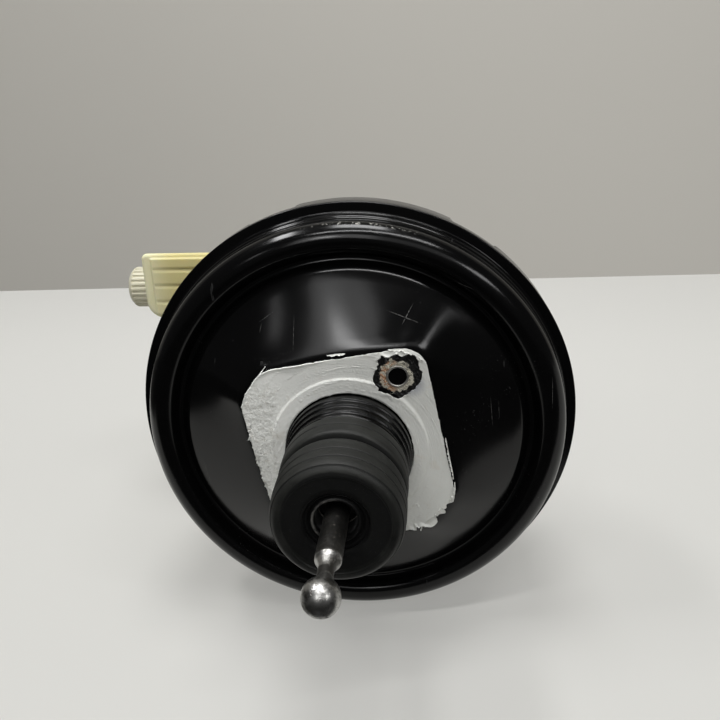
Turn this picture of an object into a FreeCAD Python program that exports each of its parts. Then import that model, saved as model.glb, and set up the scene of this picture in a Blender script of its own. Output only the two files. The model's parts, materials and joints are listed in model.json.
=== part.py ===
import FreeCAD, Part
import math
import os
import re
import Sketcher

# Vacuum brake booster with its tandem master cylinder and fluid reservoir.
# Millimetres. The Y axis is the axis of the booster: the pedal is on the -Y side and the
# master cylinder on the +Y side. The origin is on the face of the mounting pad, between its two bolts.
# Z is up as the booster lies on its rim, so the reservoir points to -X.

Vector = FreeCAD.Vector

SIZES = {
    # fits
    "seat_gap": 0.05,
    "running_gap": 0.05,
    "free_gap": 0.3,
    # rear shell
    "wall": 2.0,
    "flange_radius": 138.0,
    "flange_plane": 43.5,
    "bead_width": 7.0,
    "bead_depth": 7.0,
    "flange_width": 8.5,
    "shoulder_drop": 7.0,
    "ring_plane": 19.5,
    "shoulder_width": 4.5,
    "crest_inset": 10.0,
    "ring_width": 16.5,
    "ring_fall": 2.0,
    "groove_plane": 30.0,
    "groove_start": 19.0,
    "groove_end": 23.0,
    "dome_inset": 25.0,
    "press_rounding": 2.0,
    "edge_rounding": 1.2,
    "dome_plane": 23.5,
    "pad_side": 26.78,
    "pad_top": 11.33,
    "pad_lean": 1.6,
    "pad_cut": 17.0,
    "pad_rounding": 13.0,
    "pad_turn": 9.5,
    "boss_width": 11.0,
    "boss_rise": 1.2,
    "boss_slope": 1.5,
    "seal_width": 7.2,
    "neck_reach": 9.0,
    # bolt sleeves
    "sleeve_circle": 55.5,
    "sleeve_angle": 58.6,
    "sleeve_radius": 6.45,
    "sleeve_bore": 5.25,
    "sleeve_proud": 1.5,
    "gasket_thickness": 0.8,
    "gasket_inset": 0.8,
    "gasket_tear": 13.0,
    # front shell
    "shell_length": 144.0,
    "collar_depth": 16.0,
    "collar_wall": 4.0,
    "collar_step": 8.0,
    "flat_margin": 8.75,
    "cone_bulge": 4.0,
    "front_cone_drop": 10.0,
    "shoulder_inset": 8.0,
    "front_shoulder_drop": 26.0,
    "front_drum_drop": 42.0,
    "front_rounding": 9.0,
    "lobe_gap_width": 30.0,
    "lobe_gap_depth": 2.2,
    "lobe_gap_start": 6.0,
    # boot
    "boot_gap": 2.3,
    "boot_collar": 2.7,
    "boot_wall": 2.0,
    "boot_length": 74.5,
    "fold_pitch": 9.0,
    "fold_crest": 5.5,
    "fold_depth": 2.5,
    "waist_depth": 5.5,
    "waist_length": 9.0,
    "drum_step": 1.0,
    "boot_end_inset": 3.0,
    "boot_face_inset": 9.5,
    "boot_end_straight": 8.7,
    "boot_end_rounding": 7.0,
    "lip_radius": 13.0,
    "lip_bore": 10.4,
    "lip_sink": 2.0,
    "skirt_wall": 1.9,
    "skirt_length": 11.0,
    # neck parts
    "bush_flange": 2.0,
    "seal_length": 6.0,
    "retainer_thickness": 1.5,
    # power piston
    "tube_radius": 24.8,
    "boot_cap": 4.5,
    "tube_wall": 6.3,
    "valve_floor": 6.0,
    "valve_seat_reach": 14.0,
    "valve_seat_inset": 6.0,
    "valve_seat_wall": 1.2,
    "hub_width": 17.2,
    "hub_plane": 8.0,
    "hub_thickness": 4.0,
    "hub_neck_width": 2.2,
    "hub_boss_inset": 3.8,
    "hub_length": 46.0,
    "disc_inset": 7.8,
    "disc_thickness": 8.0,
    "passage_radius": 2.0,
    "passage_inset": 1.4,
    "membrane": 1.8,
    "plate_wall": 1.5,
    "plate_gap": 12.0,
    "plate_margin": 1.5,
    "plate_edge": 16.0,
    "plate_deep": 36.0,
    "plate_rim": 20.0,
    "bead_seat": 7.5,
    "bead_height": 8.0,
    "seal_flange_radius": 11.0,
    "seal_flange_height": 4.0,
    # valve train
    "plunger_radius": 9.0,
    "plunger_tail": 15.2,
    "plunger_nose_radius": 5.0,
    "plunger_nose": 6.0,
    "reaction_gap": 2.3,
    "key_thickness": 3.0,
    "key_setback": 8.7,
    "key_length": 48.0,
    "key_width": 16.0,
    "key_groove_radius": 6.0,
    "key_play": 2.5,
    "socket_radius": 5.6,
    "socket_centre": 8.0,
    "joint_ball_radius": 5.5,
    "rod_neck_radius": 4.2,
    "filter_setback": 7.0,
    "rod_radius": 6.35,
    "ball_setback": 22.5,
    "rod_shoulder_cone": 5.0,
    "rod_end_neck_radius": 3.8,
    "ball_radius": 8.75,
    "ball_centre": 129.5,
    "poppet_face": 15.5,
    "poppet_thickness": 2.5,
    "poppet_inset": 2.5,
    "poppet_bore": 8.2,
    "valve_spring_length": 10.5,
    "poppet_bead": 4.0,
    "poppet_tube_inset": 3.5,
    "poppet_retainer_length": 4.0,
    "poppet_retainer_inset": 4.3,
    "spring_seat_radius": 13.0,
    "spring_seat_thickness": 1.5,
    "filter_bore": 11.0,
    "filter_length": 11.0,
    "silencer_length": 1.5,
    # output side
    "output_head": 4.0,
    "output_rod_radius": 5.0,
    "cup_wall": 1.5,
    "cup_length": 8.0,
    "cup_flange_radius": 31.0,
    # springs
    "return_coil_inset": 5.0,
    "return_wire": 1.7,
    "valve_coil_inset": 2.7,
    "valve_coil_end_inset": 1.5,
    "valve_wire": 0.8,
    "poppet_coil_radius": 11.0,
    "poppet_wire": 0.6,
    "piston_coil_inset": 3.9,
    "piston_wire": 1.1,
    "check_coil_radius": 3.6,
    "check_wire": 0.4,
    # master cylinder, measured from the front plate
    "bore_radius": 11.9,
    "bore_end": 112.0,
    "barrel_wall": 5.6,
    "barrel_cap": 8.0,
    "barrel_rounding": 3.0,
    "spigot_wall": 6.9,
    "spigot_length": 13.0,
    "guide_width": 3.1,
    "spigot_bore_floor": 1.0,
    "spigot_groove": 2.0,
    "flange_thickness": 12.0,
    "flange_half_width": 24.0,
    "flange_ear": 11.0,
    "stud_offset": 40.0,
    "stud_radius": 4.0,
    "stud_head_radius": 8.0,
    "stud_head_thickness": 3.0,
    "stud_length": 26.0,
    "nut_across_flats": 13.0,
    "nut_thickness": 8.0,
    "circlip_thickness": 1.4,
    "primary_back": 8.0,
    "spring_room": 26.0,
    "primary_pocket_radius": 6.5,
    "primary_pocket_depth": 14.0,
    "secondary_length": 30.0,
    "end_room": 26.0,
    "cup_depth": 3.0,
    "cup_height": 4.0,
    "cup_setback": 2.0,
    "stop_pin_radius": 2.0,
    "stop_pin_setback": 8.0,
    "stop_pin_depth": 7.0,
    "stop_head_radius": 5.0,
    "stroke_of_secondary": 16.0,
    "port_ahead": 1.0,
    "port_boss_wall": 3.0,
    "port_boss_reach": 27.0,
    "grommet_wall": 2.5,
    "grommet_depth": 8.0,
    "grommet_flange": 2.2,
    "outlet_ahead": 12.0,
    "outlet_boss_radius": 9.0,
    "outlet_reach": 28.0,
    "outlet_radius": 5.25,
    "outlet_depth": 12.0,
    "drilling_radius": 1.5,
    "lug_thickness": 8.0,
    "lug_half_width": 5.0,
    "lug_inset": 4.0,
    "pin_inset": 8.0,
    "pin_radius": 2.0,
    # reservoir, measured from the front plate and the cylinder axis
    "tank_near": 9.5,
    "tank_overlap": 9.0,
    "tank_end": 172.0,
    "tank_low": 34.0,
    "tank_high": 86.0,
    "tank_fall": 19.0,
    "tank_wall": 2.5,
    "tank_rounding": 14.0,
    "tank_edge": 3.0,
    "tank_clear": 3.0,
    "foot_low": 16.0,
    "foot_high": 20.0,
    "foot_length": 22.0,
    "slope_length": 30.0,
    "foot_pipe_radius": 7.5,
    "foot_pipe_bore": 5.0,
    "foot_pipe_length": 10.0,
    "panel_height": 1.5,
    "panel_inset": 7.0,
    "furrow_width": 3.2,
    "furrow_pitch": 12.75,
    "furrow_drop": 12.6,
    "filler_shift": 3.25,
    "filler_drop": 10.5,
    "filler_radius": 13.0,
    "filler_wall": 2.2,
    "filler_reach": 19.0,
    "cap_width": 3.2,
    "cap_wall": 3.5,
    "cap_skirt": 12.5,
    "cap_flute": 1.2,
    "cap_seal_thickness": 1.5,
    "post_radius": 4.0,
    "post_inset": 16.0,
    "post_clear": 25.5,
    "post_stop_radius": 5.5,
    "post_stop_length": 2.0,
    "float_radius": 10.0,
    "float_length": 12.0,
    "float_gap": 0.5,
    "switch_radius": 7.0,
    "switch_length": 16.0,
    "plug_width": 16.0,
    "plug_height": 9.0,
    "plug_length": 12.0,
    # check valve, measured from the front plate
    "check_circle": 58.25,
    "check_angle": 34.51,
    "check_hole_radius": 11.0,
    "check_stem_radius": 8.0,
    "check_head_radius": 12.0,
    "check_lip": 3.0,
    "check_body_height": 22.5,
    "check_stem_length": 8.0,
    "check_chamber_radius": 6.5,
    "check_inlet_radius": 4.0,
    "check_disc_radius": 5.5,
    "check_disc_thickness": 1.5,
    "nipple_radius": 4.75,
    "nipple_bore": 3.0,
    "nipple_reach": 36.0,
    "nipple_collar": 1.0,
    "nipple_collar_width": 1.75,
}

# Lengths that follow from the sizes
DERIVED = {
    "bead_radius": "flange_radius - bead_width",
    "drum_radius": "flange_radius - flange_width",
    "ring_outer_radius": "drum_radius - shoulder_width",
    "ring_crest_radius": "drum_radius - crest_inset",
    "ring_inner_radius": "drum_radius - ring_width",
    "groove_outer_radius": "drum_radius - groove_start",
    "groove_inner_radius": "drum_radius - groove_end",
    "dome_radius": "drum_radius - dome_inset",
    "pad_half_width": "sleeve_circle * cos(sleeve_angle) + pad_side",
    "pad_half_height": "sleeve_circle * sin(sleeve_angle) + pad_top",
    "neck_radius": "tube_radius + seal_width + wall",
    "boss_radius": "neck_radius + boss_width",
    "front_drum_radius": "flange_radius - collar_step",
    "front_shoulder_radius": "front_drum_radius - shoulder_inset",
    "front_flat_radius": "check_circle + check_hole_radius + flat_margin",
    "front_cone_radius": "(front_flat_radius + front_shoulder_radius) / 2 + cone_bulge",
    "boot_radius": "neck_radius + free_gap + boot_collar",
    "boot_end_radius": "boot_radius - boot_end_inset",
    "boot_face_radius": "boot_radius - boot_face_inset",
    "boot_end_length": "waist_length + fold_crest + boot_end_straight + boot_end_rounding",
    "bulge_length": "boot_length - boot_gap - 3 * fold_pitch - boot_end_length",
    "tube_reach": "boot_length - boot_cap",
    "tube_bore": "tube_radius - tube_wall",
    "valve_seat_radius": "tube_bore - valve_seat_inset",
    "hub_radius": "tube_radius + hub_width",
    "hub_neck_radius": "tube_radius + hub_neck_width",
    "hub_boss_radius": "tube_radius - hub_boss_inset",
    "disc_radius": "hub_boss_radius - disc_inset",
    "passage_circle": "tube_bore - passage_inset",
    "disc_back": "hub_length - output_head - disc_thickness",
    "plunger_length": "disc_back - reaction_gap",
    "plunger_shoulder": "plunger_length - plunger_nose",
    "plunger_bore_depth": "plunger_shoulder + free_gap",
    "key_plane": "plunger_shoulder - key_setback",
    "plate_radius": "front_drum_radius - wall - plate_gap",
    "plate_cone_radius": "plate_radius - plate_edge",
    "plate_flat_radius": "sleeve_circle + seal_flange_radius + plate_margin",
    "bead_inner_radius": "flange_radius - bead_seat",
    "rod_shoulder": "ball_centre - ball_setback",
    "rod_step": "tube_reach - filter_length - filter_setback",
    "poppet_end": "rod_step - spring_seat_thickness - valve_spring_length - poppet_retainer_length",
    "poppet_length": "poppet_end - poppet_face",
    "poppet_radius": "tube_bore - poppet_inset",
    "poppet_tube_radius": "tube_bore - poppet_tube_inset",
    "poppet_retainer_bore": "tube_bore - poppet_retainer_inset",
    "return_coil_radius": "cup_flange_radius - return_coil_inset",
    "valve_coil_radius": "tube_bore - valve_coil_inset",
    "valve_coil_end_radius": "spring_seat_radius - valve_coil_end_inset",
    "piston_coil_radius": "bore_radius - piston_coil_inset",
    "barrel_radius": "bore_radius + barrel_wall",
    "barrel_end": "bore_end + barrel_cap",
    "spigot_bore": "bore_radius + guide_width",
    "spigot_radius": "spigot_bore + spigot_wall",
    "secondary_front": "bore_end - end_room",
    "secondary_back": "secondary_front - secondary_length",
    "primary_front": "secondary_back - spring_room",
    "stop_pin_place": "secondary_front - stop_pin_setback",
    "first_port": "primary_front + port_ahead",
    "second_port": "secondary_front + port_ahead",
    "first_outlet": "first_port + outlet_ahead",
    "second_outlet": "second_port + outlet_ahead",
    "grommet_radius": "foot_pipe_radius + grommet_wall",
    "port_boss_radius": "grommet_radius + port_boss_wall",
    "tank_foot": "port_boss_reach + tank_clear",
    "tank_far": "second_port + tank_overlap",
    "tank_knee": "tank_foot + foot_length",
    "tank_start": "tank_knee + slope_length",
    "foot_pipe_reach": "tank_foot - foot_pipe_length",
    "lug_place": "(first_port + second_port) / 2",
    "lug_reach": "tank_foot - lug_inset",
    "pin_offset": "tank_foot - pin_inset",
    "filler_place": "(tank_near + tank_far) / 2 - filler_shift",
    "filler_height": "(tank_low + tank_high) / 2 - filler_drop",
    "filler_bore": "filler_radius - filler_wall",
    "cap_radius": "filler_radius + free_gap + cap_width",
    "post_place": "tank_far - post_inset",
    "post_height": "(tank_low + tank_high - tank_fall) / 2",
    "post_length": "tank_end - tank_wall - tank_start - post_clear",
    "float_place": "tank_start + post_clear + float_gap + float_length",
    "check_x": "check_circle * cos(check_angle)",
    "check_z": "check_circle * sin(check_angle)",
}

# Directions of the gaps between the crimped lobes of the front shell's collar, in degrees
LOBE_GAPS = (27.0, 57.5, 110.0, 207.0, 237.5, 290.0)
COLLAR_FOLDS = 3
TANK_FURROWS = 3
CAP_FLUTES = 24
RETURN_TURNS = 6
PISTON_TURNS = 3
VALVE_TURNS = 2
COIL_STEPS = 12
WIRE_SIDES = 6

document = FreeCAD.newDocument("brake_booster")
sheet = document.addObject("Spreadsheet::Sheet", "Sizes")
for row, (name, number) in enumerate(SIZES.items(), 1):
    sheet.set("A%d" % row, name)
    sheet.set("B%d" % row, str(number))
    sheet.setAlias("B%d" % row, name)
document.recompute()

sub_parts = []
WORD = re.compile(r"[a-z_]+")


# Sizes and ties

def written_out(text):
    """The text with each derived length replaced by what it follows from."""

    def spelled(word):
        name = word.group()
        return "(%s)" % written_out(DERIVED[name]) if name in DERIVED else name

    return WORD.sub(spelled, text)


def size(text):
    """The value of a length or angle that is written in names."""
    answer = sheet.evalExpression(written_out(text))
    return float(getattr(answer, "Value", answer))


def tied(text):
    """The text in the sheet's own names, each pointing at the sheet."""
    whole = written_out(text)
    return WORD.sub(lambda word: "Sizes." + word.group() if word.group() in SIZES else word.group(), whole)


def tie(owner, path, text):
    owner.setExpression(path, tied(text))


def sleeve_place(sign=""):
    """Place of a bolt sleeve in the plane of the pad, across and up."""
    return (sign + "sleeve_circle * cos(sleeve_angle)", sign + "sleeve_circle * sin(sleeve_angle)")


# Bodies, sketches and features

def new_body(label, x="0", y="0", z="0"):
    """A sub-part with its own origin at x, y, z."""
    body = document.addObject("PartDesign::Body", label)
    body.Label = label
    body.AllowCompound = True
    for axis, text in (("x", x), ("y", y), ("z", z)):
        if text != "0":
            tie(body, "Placement.Base." + axis, text)
    sub_parts.append(body)
    return body


def origin_part(body, role):
    return next(part for part in body.Origin.OriginFeatures if part.Role == role)


def new_sketch(body, role, lift="0", turn="0"):
    """A sketch on one of the body's own planes, lifted along its normal and turned in itself."""
    sketch = body.newObject("Sketcher::SketchObject", body.Label + "_sketch")
    sketch.AttachmentSupport = [(origin_part(body, role), "")]
    sketch.MapMode = "FlatFace"
    if lift != "0":
        tie(sketch, "AttachmentOffset.Base.z", lift)
    if turn != "0":
        tie(sketch, "AttachmentOffset.Rotation.Angle", turn)
    return sketch


def cross_sketch(body, depth="0", turn="0"):
    """A sketch square to the booster's axis: its x is X, its y is Z, and it lies at Y = depth."""
    return new_sketch(body, "XZ_Plane", "-(" + depth + ")", turn)


def place_point(sketch, geometry, end, x, y):
    for kind, text, axis in (("DistanceX", x, -2), ("DistanceY", y, -1)):
        if text == "0":
            sketch.addConstraint(Sketcher.Constraint("PointOnObject", geometry, end, axis))
        else:
            index = sketch.addConstraint(Sketcher.Constraint(kind, geometry, end, size(text)))
            tie(sketch, "Constraints[%d]" % index, text)


def arc_between(start, end, radius, turn, large):
    """An arc from start to end: turn is 1 to the left and -1 to the right."""
    chord = end - start
    half = chord.Length / 2
    offset = math.sqrt(max(radius * radius - half * half, 0.0)) * turn
    if large:
        offset = -offset
    left = Vector(-chord.y, chord.x, 0).normalize()
    centre = (start + end) * 0.5 + left * offset
    first, last = (start, end) if turn > 0 else (end, start)
    angles = [math.atan2(point.y - centre.y, point.x - centre.x) for point in (first, last)]
    if angles[1] < angles[0]:
        angles[1] += 2 * math.pi
    circle = Part.Circle(centre, Vector(0, 0, 1), radius)
    return Part.ArcOfCircle(circle, angles[0], angles[1])


def outline(sketch, corners, arcs=None):
    """A closed outline through corners. arcs gives, by the number of the corner that it leaves,
    an arc's radius, its turn (1 left, -1 right) and whether it is more than half a circle."""
    arcs = arcs or {}
    points = [Vector(size(x), size(y), 0) for x, y in corners]
    count = len(points)
    first = sketch.GeometryCount
    ends = []
    for index, point in enumerate(points):
        target = points[(index + 1) % count]
        if index in arcs:
            radius, turn, large = arcs[index]
            sketch.addGeometry(arc_between(point, target, size(radius), turn, large), False)
            ends.append((1, 2) if turn > 0 else (2, 1))
        else:
            sketch.addGeometry(Part.LineSegment(point, target), False)
            ends.append((1, 2))
    for index in range(count):
        following = (index + 1) % count
        joint = (first + index, ends[index][1], first + following, ends[following][0])
        sketch.addConstraint(Sketcher.Constraint("Coincident", *joint))
    for index, (x, y) in enumerate(corners):
        place_point(sketch, first + index, ends[index][0], x, y)
    for index, (radius, turn, large) in arcs.items():
        bound = sketch.addConstraint(Sketcher.Constraint("Radius", first + index, size(radius)))
        tie(sketch, "Constraints[%d]" % bound, radius)


def circle(sketch, radius, x="0", y="0"):
    centre = Vector(size(x), size(y), 0)
    index = sketch.addGeometry(Part.Circle(centre, Vector(0, 0, 1), size(radius)), False)
    place_point(sketch, index, 3, x, y)
    bound = sketch.addConstraint(Sketcher.Constraint("Radius", index, size(radius)))
    tie(sketch, "Constraints[%d]" % bound, radius)


def rectangle(sketch, x_low, x_high, y_low, y_high):
    outline(sketch, [(x_low, y_low), (x_high, y_low), (x_high, y_high), (x_low, y_high)])


def turned(body, corners, arcs=None, axis="V_Axis", role="XY_Plane", lift="0"):
    """Adds what the outline sweeps round an axis of its sketch, as a rule the booster's own axis."""
    sketch = new_sketch(body, role, lift)
    outline(sketch, corners, arcs)
    feature = body.newObject("PartDesign::Revolution", body.Label + "_turned")
    feature.Profile = sketch
    feature.ReferenceAxis = (sketch, [axis])
    feature.Angle = 360
    return feature


def turned_cut(body, corners, arcs=None, axis="V_Axis", role="XY_Plane", lift="0"):
    """Cuts what the outline sweeps round the axis, and makes sure that it cuts."""
    before = solid_volume(body)
    sketch = new_sketch(body, role, lift)
    outline(sketch, corners, arcs)
    feature = body.newObject("PartDesign::Groove", body.Label + "_groove")
    feature.Profile = sketch
    feature.ReferenceAxis = (sketch, [axis])
    feature.Angle = 360
    check_cut(body, before)
    return feature


def solid_volume(body):
    document.recompute()
    return body.Tip.Shape.Volume


def check_cut(body, before):
    if solid_volume(body) >= before - 1e-6:
        raise ValueError("a cut missed " + body.Label)


def padded(body, sketch, length, reverse=False, middle=False):
    feature = body.newObject("PartDesign::Pad", body.Label + "_pad")
    feature.Profile = sketch
    tie(feature, "Length", length)
    feature.Reversed = reverse
    if middle:
        feature.SideType = "Symmetric"
    return feature


def pocket(body, sketch, length, reverse=False, middle=False):
    """A cut from the sketch. Without reverse it goes against the sketch's normal."""
    before = solid_volume(body)
    feature = body.newObject("PartDesign::Pocket", body.Label + "_pocket")
    feature.Profile = sketch
    tie(feature, "Length", length)
    feature.Reversed = reverse
    if middle:
        feature.SideType = "Symmetric"
    check_cut(body, before)
    return feature


def pattern(body, feature, count, axis="Y_Axis"):
    """Copies a feature round an axis of its body."""
    copies = body.newObject("PartDesign::PolarPattern", body.Label + "_pattern")
    copies.Originals = [feature]
    copies.Axis = (origin_part(body, axis), [""])
    copies.Angle = 360
    copies.Occurrences = count
    body.Tip = copies
    return copies


def round_edges(body, radius, chosen):
    """Rounds the edges of the body that chosen says yes to."""
    document.recompute()
    base = body.Tip
    names = ["Edge%d" % number for number, edge in enumerate(base.Shape.Edges, 1) if chosen(edge)]
    if not names:
        raise ValueError("no edge to round on " + body.Label)
    feature = body.newObject("PartDesign::Fillet", body.Label + "_fillet")
    feature.Base = (base, names)
    tie(feature, "Radius", radius)
    return feature


def hoop(rings):
    """Chooses round edges about the booster's axis, by radius and place along it."""
    wanted = [(size(radius), size(depth)) for radius, depth in rings]

    def chosen(edge):
        if not isinstance(edge.Curve, Part.Circle):
            return False
        centre = edge.Curve.Center
        if math.hypot(centre.x, centre.z) > 0.01:
            return False
        return any(
            abs(edge.Curve.Radius - radius) < 0.02 and abs(centre.y - depth) < 0.02
            for radius, depth in wanted
        )

    return chosen


def along(axis):
    """Chooses straight edges that run along an axis."""

    def chosen(edge):
        if not isinstance(edge.Curve, Part.Line):
            return False
        return abs(abs(edge.Curve.Direction.dot(axis)) - 1) < 1e-6

    return chosen


# Springs

def coil(label, wire, start, end, radius, end_radius, turns, place=None):
    """A helical spring along Y between start and end, with a wire of few sides."""
    wire, start, end = size(wire), size(start), size(end)
    radius, end_radius = size(radius), size(end_radius)
    steps = turns * COIL_STEPS
    rings = []
    for step in range(steps + 1):
        share = step / steps
        angle = 2 * math.pi * turns * share
        middle = radius + (end_radius - radius) * share
        depth = start + wire + (end - start - 2 * wire) * share
        ring = []
        for side in range(WIRE_SIDES):
            turn = 2 * math.pi * side / WIRE_SIDES
            reach = middle + wire * math.cos(turn)
            ring.append(Vector(reach * math.cos(angle), depth + wire * math.sin(turn), reach * math.sin(angle)))
        rings.append(ring)
    faces = [Part.Face(Part.makePolygon(rings[0] + rings[0][:1])), Part.Face(Part.makePolygon(rings[-1] + rings[-1][:1]))]
    for near, far in zip(rings, rings[1:]):
        for side in range(WIRE_SIDES):
            after = (side + 1) % WIRE_SIDES
            faces.append(Part.Face(Part.makePolygon([near[side], near[after], far[side], near[side]])))
            faces.append(Part.Face(Part.makePolygon([near[after], far[after], far[side], near[after]])))
    solid = Part.Solid(Part.Shell(faces))
    if solid.Volume < 0:
        solid.reverse()
    feature = document.addObject("Part::Feature", label)
    feature.Label = label
    feature.Shape = solid
    if place:
        for axis, text in place:
            tie(feature, "Placement.Base." + axis, text)
    sub_parts.append(feature)


# Rear shell and what is on its pad and neck

def pad_outline(sketch, inset):
    """The pad: a leaning rectangle with two opposite corners cut off and two rounded."""
    width = "(pad_half_width - (%s))" % inset
    height = "(pad_half_height - (%s))" % inset
    near = "(%s - pad_lean)" % width
    far = "(%s + pad_lean)" % width
    rounding = "pad_rounding"
    half = [
        ("%s - %s" % (near, rounding), height),
        (near, "%s - %s" % (height, rounding)),
        (far, "-(%s - pad_cut)" % height),
        ("%s - pad_cut" % far, "-%s" % height),
    ]
    other = [("-(%s)" % x, "-(%s)" % y) for x, y in half]
    outline(sketch, half + other, {0: (rounding, -1, False), 4: (rounding, -1, False)})


def dome_loft(body, kind, base_radius, base_depth, pad_inset, pad_depth):
    """A loft from the dome's round edge to the pad's outline."""
    base = cross_sketch(body, base_depth, "pad_turn")
    circle(base, base_radius)
    pad = cross_sketch(body, pad_depth, "pad_turn")
    pad_outline(pad, pad_inset)
    feature = body.newObject("PartDesign::" + kind, body.Label + "_dome")
    feature.Profile = base
    feature.Sections = [pad]
    feature.Ruled = True
    return feature


def rear_shell():
    body = new_body("rear_shell")
    front = "flange_plane + wall"
    turned(body, [
        ("0", "dome_plane"),
        ("dome_radius", "dome_plane"),
        ("groove_inner_radius", "groove_plane"),
        ("groove_outer_radius", "groove_plane"),
        ("ring_inner_radius", "ring_plane + ring_fall"),
        ("ring_crest_radius", "ring_plane"),
        ("ring_outer_radius", "ring_plane + ring_fall"),
        ("drum_radius", "ring_plane + shoulder_drop"),
        ("drum_radius", "flange_plane - bead_depth"),
        ("bead_radius", "flange_plane - bead_depth"),
        ("bead_radius", "flange_plane"),
        ("flange_radius", "flange_plane"),
        ("flange_radius", front),
        ("0", front),
    ])
    round_edges(body, "press_rounding", hoop([
        ("ring_inner_radius", "ring_plane + ring_fall"),
        ("ring_crest_radius", "ring_plane"),
        ("ring_outer_radius", "ring_plane + ring_fall"),
        ("drum_radius", "ring_plane + shoulder_drop"),
    ]))
    round_edges(body, "edge_rounding", hoop([
        ("bead_radius", "flange_plane - bead_depth"),
        ("flange_radius", "flange_plane"),
    ]))
    dome_loft(body, "AdditiveLoft", "dome_radius", "dome_plane", "0", "0")
    turned(body, [
        ("0", "-boss_rise"),
        ("boss_radius", "-boss_rise"),
        ("boss_radius + boss_slope", "0"),
        ("boss_radius + boss_slope", "wall"),
        ("0", "wall"),
    ])
    turned(body, [
        ("0", "-neck_reach"),
        ("neck_radius", "-neck_reach"),
        ("neck_radius", "0"),
        ("0", "0"),
    ])
    turned_cut(body, [
        ("0", "dome_plane + wall"),
        ("dome_radius - wall", "dome_plane + wall"),
        ("groove_inner_radius - wall / 2", "groove_plane + wall"),
        ("groove_outer_radius + wall / 2", "groove_plane + wall"),
        ("ring_inner_radius + wall", "ring_plane + ring_fall + wall"),
        ("ring_crest_radius", "ring_plane + wall"),
        ("ring_outer_radius - wall / 2", "ring_plane + ring_fall + wall"),
        ("drum_radius - wall", "ring_plane + shoulder_drop + wall / 2"),
        ("drum_radius - wall", "flange_plane - bead_depth + wall"),
        ("bead_radius - wall", "flange_plane - bead_depth + wall"),
        ("bead_radius - wall", front),
        ("0", front),
    ])
    dome_loft(body, "SubtractiveLoft", "dome_radius - wall", "dome_plane + wall", "wall / 2", "wall")
    turned_cut(body, [
        ("0", "wall - boss_rise"),
        ("boss_radius - wall", "wall - boss_rise"),
        ("boss_radius - wall", "wall * 2"),
        ("0", "wall * 2"),
    ])
    turned_cut(body, [
        ("0", "-neck_reach - wall"),
        ("neck_radius - wall", "-neck_reach - wall"),
        ("neck_radius - wall", "wall"),
        ("0", "wall"),
    ])
    holes = cross_sketch(body, "wall * 2")
    circle(holes, "sleeve_radius + seat_gap", *sleeve_place())
    circle(holes, "sleeve_radius + seat_gap", *sleeve_place("-"))
    pocket(body, holes, "wall * 4", reverse=True)


def mounting_gasket():
    """Thin gasket that follows the pad and its raised ring, torn open round the sleeves."""
    body = new_body("mounting_gasket")
    plate = cross_sketch(body, "0", "pad_turn")
    pad_outline(plate, "gasket_inset")
    padded(body, plate, "gasket_thickness")
    rise = "-(boss_rise + gasket_thickness)"
    turned(body, [
        ("boss_radius - boss_slope", rise),
        ("boss_radius + boss_slope", rise),
        ("boss_radius + boss_slope + gasket_thickness", "-gasket_thickness"),
        ("boss_radius - boss_slope", "-gasket_thickness"),
    ])
    face = cross_sketch(body, "0")
    circle(face, "boss_radius")
    padded(body, face, "boss_rise + gasket_thickness")
    turned_cut(body, [
        ("0", "-boss_rise"),
        ("boss_radius + running_gap", "-boss_rise"),
        ("boss_radius + boss_slope + running_gap", "0"),
        ("0", "0"),
    ])
    turned_cut(body, [
        ("0", "-boss_rise * 4"),
        ("boot_radius + free_gap", "-boss_rise * 4"),
        ("boot_radius + free_gap", "0"),
        ("0", "0"),
    ])
    holes = cross_sketch(body, "0")
    circle(holes, "gasket_tear", *sleeve_place())
    circle(holes, "gasket_tear", *sleeve_place("-"))
    pocket(body, holes, "boss_rise * 4", reverse=True)


def through_sleeves():
    """Two tubes that carry the bulkhead bolts through both shells."""
    body = new_body("through_sleeves")
    sketch = cross_sketch(body, "-sleeve_proud")
    for sign in ("", "-"):
        circle(sketch, "sleeve_radius", *sleeve_place(sign))
        circle(sketch, "sleeve_bore", *sleeve_place(sign))
    padded(body, sketch, "shell_length + sleeve_proud", reverse=True)


def neck_seal():
    body = new_body("neck_seal")
    inner = "tube_radius + running_gap"
    outer = "neck_radius - wall - seat_gap"
    back = "-(neck_reach - retainer_thickness - seal_length)"
    mouth = "-(neck_reach - retainer_thickness)"
    middle = "(tube_radius + neck_radius - wall) / 2"
    turned(body, [
        (inner, back),
        (outer, back),
        (outer, mouth),
        (middle + " + boot_wall / 2", mouth),
        (middle, "(%s) + seal_length / 2" % mouth),
        (middle + " - boot_wall / 2", mouth),
        (inner, mouth),
    ])


def guide_bush():
    body = new_body("guide_bush")
    inner = "tube_radius + running_gap"
    back = "-(neck_reach - retainer_thickness - seal_length)"
    face = "wall - boss_rise"
    turned(body, [
        (inner, back),
        ("neck_radius - wall - seat_gap", back),
        ("neck_radius - wall - seat_gap", face),
        ("neck_radius + wall", face),
        ("neck_radius + wall", face + " + bush_flange"),
        (inner, face + " + bush_flange"),
    ])


def seal_retainer():
    body = new_body("seal_retainer")
    mouth = "-(neck_reach - retainer_thickness)"
    turned(body, [
        ("tube_radius + free_gap", mouth),
        ("tube_radius + free_gap", "-neck_reach"),
        ("neck_radius - wall - seat_gap", "-neck_reach"),
        ("neck_radius - wall - seat_gap", mouth),
    ])


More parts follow.
